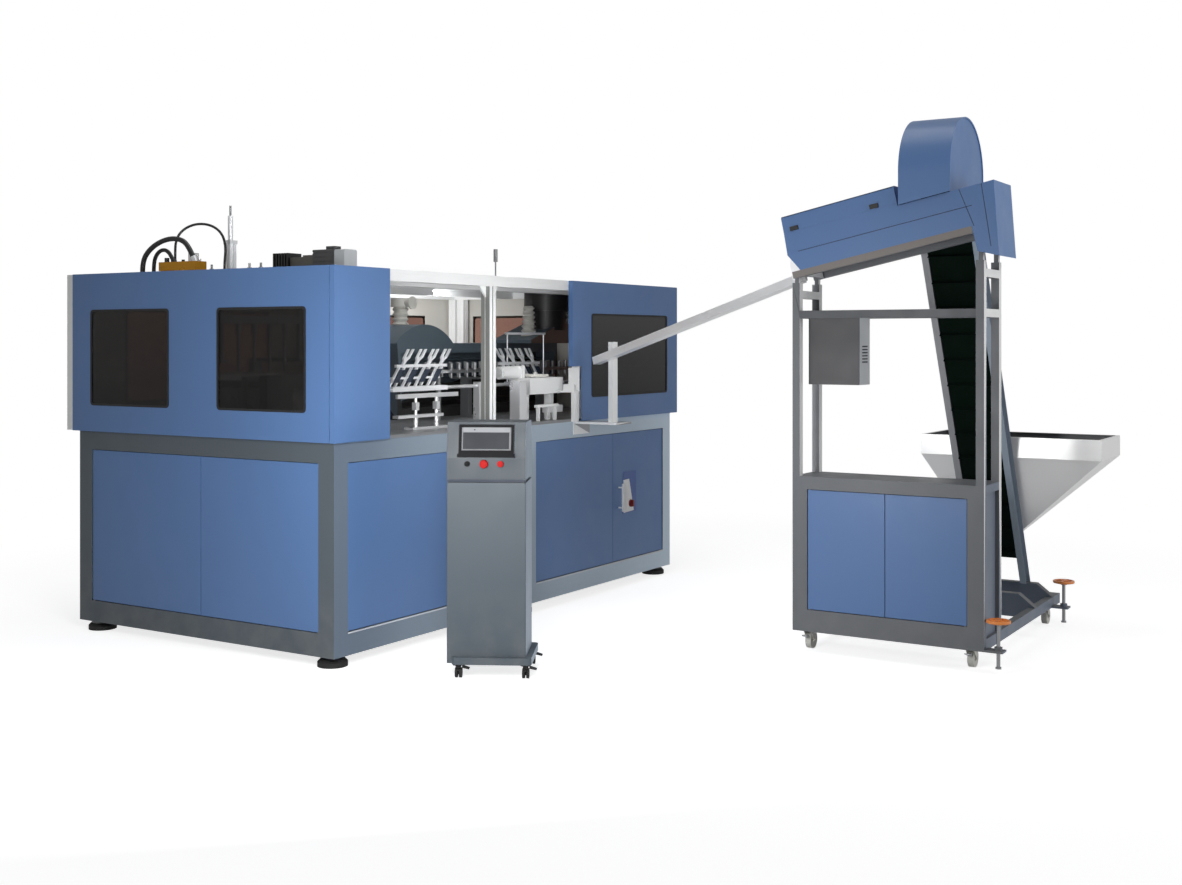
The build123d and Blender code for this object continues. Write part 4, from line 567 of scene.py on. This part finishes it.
class Piece:
    """One detail, made of bevelled plates in the plane of the face that it sits on.

    Its points are (across, up, out) in millimetres from an origin given from the machine's
    corner.
    """

    def __init__(self, origin, across=(1, 0, 0), up=(0, 0, 1)):
        across, up = Vector(across).normalized(), Vector(up).normalized()
        out = across.cross(up)
        self.turn = Matrix((across, up, out)).transposed()
        self.origin = at(*origin)
        self.form = bmesh.new()
        self.looks = []

    def spot(self, point):
        """A point of the piece in the row frame, in metres."""
        return self.origin + self.turn @ (Vector(point) / 1000)

    def loop(self, outline, out):
        return [self.form.verts.new(self.spot((*point, out))) for point in outline]

    def paint(self, faces, look):
        if look not in self.looks:
            self.looks.append(look)
        for face in faces:
            face.material_index = self.looks.index(look)

    def prism(self, outline, near, far, look, bevel=0.0, hole=None):
        """A plate of an outline, with an optional bevel or a hole of as many points."""
        tops, bases = self.loop(outline, far), self.loop(outline, near)
        count = len(outline)
        add = self.form.faces.new
        faces = [add((bases[i], bases[(i + 1) % count], tops[(i + 1) % count], tops[i]))
                 for i in range(count)]
        if hole is None:
            faces.append(add(tops))
            faces.append(add(list(reversed(bases))))
        else:
            inner_tops, inner_bases = self.loop(hole, far), self.loop(hole, near)
            for i in range(count):
                j = (i + 1) % count
                faces.append(add((tops[i], tops[j], inner_tops[j], inner_tops[i])))
                faces.append(add((bases[j], bases[i], inner_bases[i], inner_bases[j])))
                faces.append(add((inner_tops[i], inner_tops[j], inner_bases[j],
                                  inner_bases[i])))
        self.paint(faces, look)
        if bevel:
            edges = dict.fromkeys(edge for vert in tops for edge in vert.link_edges
                                  if edge.other_vert(vert) in tops)
            made = bmesh.ops.bevel(self.form, geom=list(edges), offset=bevel / 1000,
                                   segments=2, affect="EDGES")
            self.paint(made["faces"], look)

    def plate(self, left, right, low, high, near, far, look, corner=0.0, bevel=0.0):
        """A rectangular plate between two heights over the plane, with round corners."""
        self.prism(rounded(left, right, low, high, corner), near, far, look, bevel)

    def ring(self, left, right, low, high, width, near, far, look, corner):
        """A rectangular frame with round corners."""
        outer = rounded(left, right, low, high, corner)
        inner = rounded(left + width, right - width, low + width, high - width,
                        corner - width / 2)
        self.prism(outer, near, far, look, hole=inner)

    def strip(self, start, end, width, near, far, look):
        """A thin straight strip between two points of the plane."""
        start, end = Vector(start), Vector(end)
        side = (end - start).normalized().orthogonal() * width / 2
        self.prism([tuple(start - side), tuple(end - side), tuple(end + side),
                    tuple(start + side)], near, far, look)

    def done(self, name, body):
        """Finish the piece and let it ride on a body."""
        bmesh.ops.recalc_face_normals(self.form, faces=self.form.faces)
        mesh = bpy.data.meshes.new(name)
        self.form.to_mesh(mesh)
        self.form.free()
        for look in self.looks:
            mesh.materials.append(LOOKS[look])
        piece = bpy.data.objects.new(name, mesh)
        bpy.context.scene.collection.objects.link(piece)
        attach(piece, body)


def rounded(left, right, low, high, radius, steps=5):
    """The outline of a rectangle with round corners, counter-clockwise."""
    if radius <= 0:
        return [(left, low), (right, low), (right, high), (left, high)]
    points = []
    for x, y, start in ((right - radius, low + radius, -90),
                        (right - radius, high - radius, 0),
                        (left + radius, high - radius, 90),
                        (left + radius, low + radius, 180)):
        for step in range(steps + 1):
            angle = math.radians(start + 90 * step / steps)
            points.append((x + radius * math.cos(angle), y + radius * math.sin(angle)))
    return points


GUARD_FACE = -30                     # how far the guards stand out over the base
FACING_LEFT = {"across": (0, -1, 0)}


def window_gaskets():
    """Rubber gaskets round the panes of the guards that face the room."""
    low, high, lap, width, thick, corner = 1244, 1766, 6, 12, 2.5, 20

    def gasket(piece, middle, wide):
        piece.ring(middle - wide / 2 - lap, middle + wide / 2 + lap, low, high, width,
                   0, thick, "rubber_black", corner)

    panes = Piece((GUARD_FACE, 0, 0), **FACING_LEFT)
    gasket(panes, -460, 600)
    gasket(panes, -1430, 606)
    panes.done("gaskets_left", MACHINE)
    pane = Piece((0, GUARD_FACE, 0))
    gasket(pane, 2806.5, 965)
    pane.done("gasket_front", MACHINE)


def switch_plate():
    """The recess of the main switch and the light plate in it."""
    plate = Piece((0, 2, 0))
    plate.plate(2764, 2930, 474, 742, 0, 0.2, "recess_blue", 4)
    plate.prism([(2766, 474), (2898, 480), (2838, 692), (2764, 688)], 0.2, 0.5, "white_paint")
    plate.done("switch_plate", "front_door_4")


def head_seams():
    """The sheet seams of the sorting head's cover, in the tilted frame of its near side."""
    tilt = math.radians(12)
    seams = Piece((1580, -2720, 2167), (0, -math.cos(tilt), math.sin(tilt)),
                  (0, math.sin(tilt), math.cos(tilt)))
    for start, end in (((-66, 97), (-985, 97)), ((-76, -3), (-111, 188)),
                       ((-17, -117), (0, 188))):
        seams.strip(start, end, 3, -0.2, 0.5, "dark_seam_and_shadow")
    seams.done("head_seams", MACHINE)


def console_painted_shadow():
    """A dark strip where the console's head overhangs the stand's body: a painted shadow."""
    groove = Piece(on_stand(BODY_SHIFT, BODY_FRONT, 0), STAND_RIGHT)
    groove.plate(-188, 188, 928, 939.5, -0.5, 0.6, "dark_seam_and_shadow")
    groove.done("console_painted_shadow", MACHINE)


def rear_trim():
    """The pale folded flange on which the rear guard closes against the left end guard."""
    trim = Piece((GUARD_FACE, 0, 0), **FACING_LEFT)
    low, high, edge = 1104, 1961, -1936
    trim.plate(edge, -1890.5, low, high, -2, 0, "white_paint")
    trim.plate(edge, edge + 2, low, high, -26, -2, "white_paint")
    trim.done("rear_trim", MACHINE)


def brake_levers():
    """The brake levers of the swivel casters under the stand and the feeder."""
    stand = Piece(on_stand(0, 0, 0), STAND_RIGHT)
    for across in (-160, 160):
        for out in (-150, 150):
            stand.prism([(across + 18, 50), (across + 52, 43), (across + 54, 49),
                         (across + 20, 60)], out - 13, out + 13, "plastic_black", 1.2)
    stand.done("brake_levers_stand", MACHINE)
    feeder = Piece((0, 0, 0))
    for x, y in ((1688, -1760), (1708, -2600), (2968, -1770), (2968, -2640)):
        feeder.prism([(x - 84, 76), (x - 46, 64), (x - 44, 76), (x - 83, 82)],
                     -y - 14, -y + 14, "steel", 1.2)
    feeder.done("brake_levers_feeder", MACHINE)


def door_ledge_highlights():
    """Pale strips under the front doors: a painted highlight along the lit ledge there."""
    sills = Piece((0, 0, 0))
    for left, right in ((101, 1638), (1746, 3288)):
        sills.plate(left, right, 161, 168, -0.3, 0.8, "light_grey")
    sills.done("door_ledge_highlights", MACHINE)


def control_screen():
    """The operator's screen in the console's bezel: a light frame with a dark glass."""
    height = 1123
    lean = math.atan(SLOPE)
    up = (STAND_BACK[0] * math.sin(lean), STAND_BACK[1] * math.sin(lean), math.cos(lean))
    screen = Piece(on_stand(BODY_SHIFT, console_face(height), height), STAND_RIGHT, up)
    screen.plate(-117, 117, -47, 63, 0, 5, "screen_frame", 3, 0.8)
    screen.plate(-112, 112, 41, 61, 5, 5.3, "screen_bar", 2)
    screen.plate(-112, 108, -41, 38, 5, 5.6, "screen_glass", 2)
    screen.plate(-60, -54, 48, 54, 5.3, 6, "dark_seam_and_shadow", 2)
    screen.done("control_screen", MACHINE)


window_gaskets()
switch_plate()
head_seams()
console_painted_shadow()
rear_trim()
brake_levers()
door_ledge_highlights()
control_screen()


# Stage: a white floor and a white surrounding

FLOOR_COLOUR = (0.6, 0.6, 0.605, 1)
FLOOR_GLOW = 0.77                    # what the camera sees the floor give off
FLOOR_MIRRORED = 0.42                # what glossy pieces see it give off
SURROUND_LIGHT = 0.14                # what the surrounding lights the line with
SURROUND_MIRRORED = 0.45             # what glossy pieces see of it, from there to full white
FADE = (3.0, 5.5)                    # metres from the middle between which the floor turns white


def floor_material():
    """A studio floor that catches soft shadows near the line and fades into the backdrop."""
    ground = Surface("floor")
    ground.dress(FLOOR_COLOUR, 0.9)
    path = ground.add("ShaderNodeLightPath")
    seen = ground.maths("MULTIPLY", path.outputs["Is Camera Ray"], FLOOR_GLOW)
    mirrored = ground.maths("MULTIPLY", path.outputs["Is Glossy Ray"], FLOOR_MIRRORED)
    glow = ground.add("ShaderNodeEmission")
    ground.link(ground.maths("MAXIMUM", seen, mirrored), glow.inputs["Strength"])
    near = ground.add("ShaderNodeAddShader")
    ground.link(ground.shader.outputs["BSDF"], near.inputs[0])
    ground.link(glow.outputs["Emission"], near.inputs[1])
    white = ground.add("ShaderNodeEmission")
    distance = ground.add("ShaderNodeVectorMath", operation="LENGTH")
    ground.link(ground.place, distance.inputs[0])
    fade = ground.ranged(distance.outputs["Value"], 0.0, 1.0, *FADE,
                         interpolation_type="SMOOTHSTEP")
    share = ground.maths("MULTIPLY", fade, path.outputs["Is Camera Ray"])
    both = ground.add("ShaderNodeMixShader")
    ground.link(share, both.inputs["Fac"])
    ground.link(near.outputs["Shader"], both.inputs[1])
    ground.link(white.outputs["Emission"], both.inputs[2])
    output = ground.tree.nodes["Material Output"]
    ground.link(both.outputs["Shader"], output.inputs["Surface"])
    return ground.material


def make_floor():
    mesh = bpy.data.meshes.new("floor")
    form = bmesh.new()
    bmesh.ops.create_grid(form, x_segments=1, y_segments=1, size=60.0)
    form.to_mesh(mesh)
    form.free()
    mesh.materials.append(floor_material())
    floor = bpy.data.objects.new("floor", mesh)
    floor.location = (0, 0, -0.0005)
    bpy.context.scene.collection.objects.link(floor)
    return floor


floor = make_floor()


def make_world():
    """A white surrounding that lights the line only weakly, for the lamps' sake."""
    world = bpy.data.worlds.new("studio")
    bpy.context.scene.world = world
    world.use_nodes = True
    sky = Tree(world.node_tree)
    path = sky.add("ShaderNodeLightPath").outputs
    seen = sky.maths("MAXIMUM", path["Is Camera Ray"], path["Is Transmission Ray"])
    mirrored = sky.maths("MULTIPLY", path["Is Glossy Ray"], SURROUND_MIRRORED)
    strength = sky.ranged(sky.maths("MAXIMUM", seen, mirrored), SURROUND_LIGHT, 1.0, 0.0, 1.0)
    background = sky.tree.nodes["Background"]
    background.inputs["Color"].default_value = (1, 1, 1, 1)
    sky.link(strength, background.inputs["Strength"])


make_world()


def lamp(name, location, target, size, power, spread=180):
    """A round soft lamp of a diameter in metres and a power in watts, aimed at a point."""
    data = bpy.data.lights.new(name, "AREA")
    data.shape = "DISK"
    data.size = size
    data.energy = power
    data.spread = math.radians(spread)
    piece = bpy.data.objects.new(name, data)
    piece.location = location
    aim = Vector(target) - Vector(location)
    piece.rotation_euler = aim.to_track_quat("-Z", "Y").to_euler()
    piece.visible_camera = False
    bpy.context.scene.collection.objects.link(piece)


lamp("key", at(-1550, -1500, 1400), at(300, 300, 1100), 1.1, 64.0)
lamp("doors", at(200, -1700, 1000), at(1600, -2050, 900), 0.8, 3.0)
lamp("head", at(900, -4200, 3000), at(1700, -2500, 2200), 1.2, 14.0)
lamp("near_side", at(3000, -7750, 1600), at(2300, -2600, 1200), 2.6, 83.0)
lamp("opening", at(1000, -2500, 1950), at(1250, 200, 1500), 0.4, 1.6, 42)
lamp("inside", at(2380, 1280, 1820), at(3100, 1870, 1700), 0.25, 3.0, 110)
lamp("top", at(1500, 300, 6500), at(1500, 300, 0), 4.0, 90.0)

bpy.context.scene.view_settings.view_transform = "Standard"
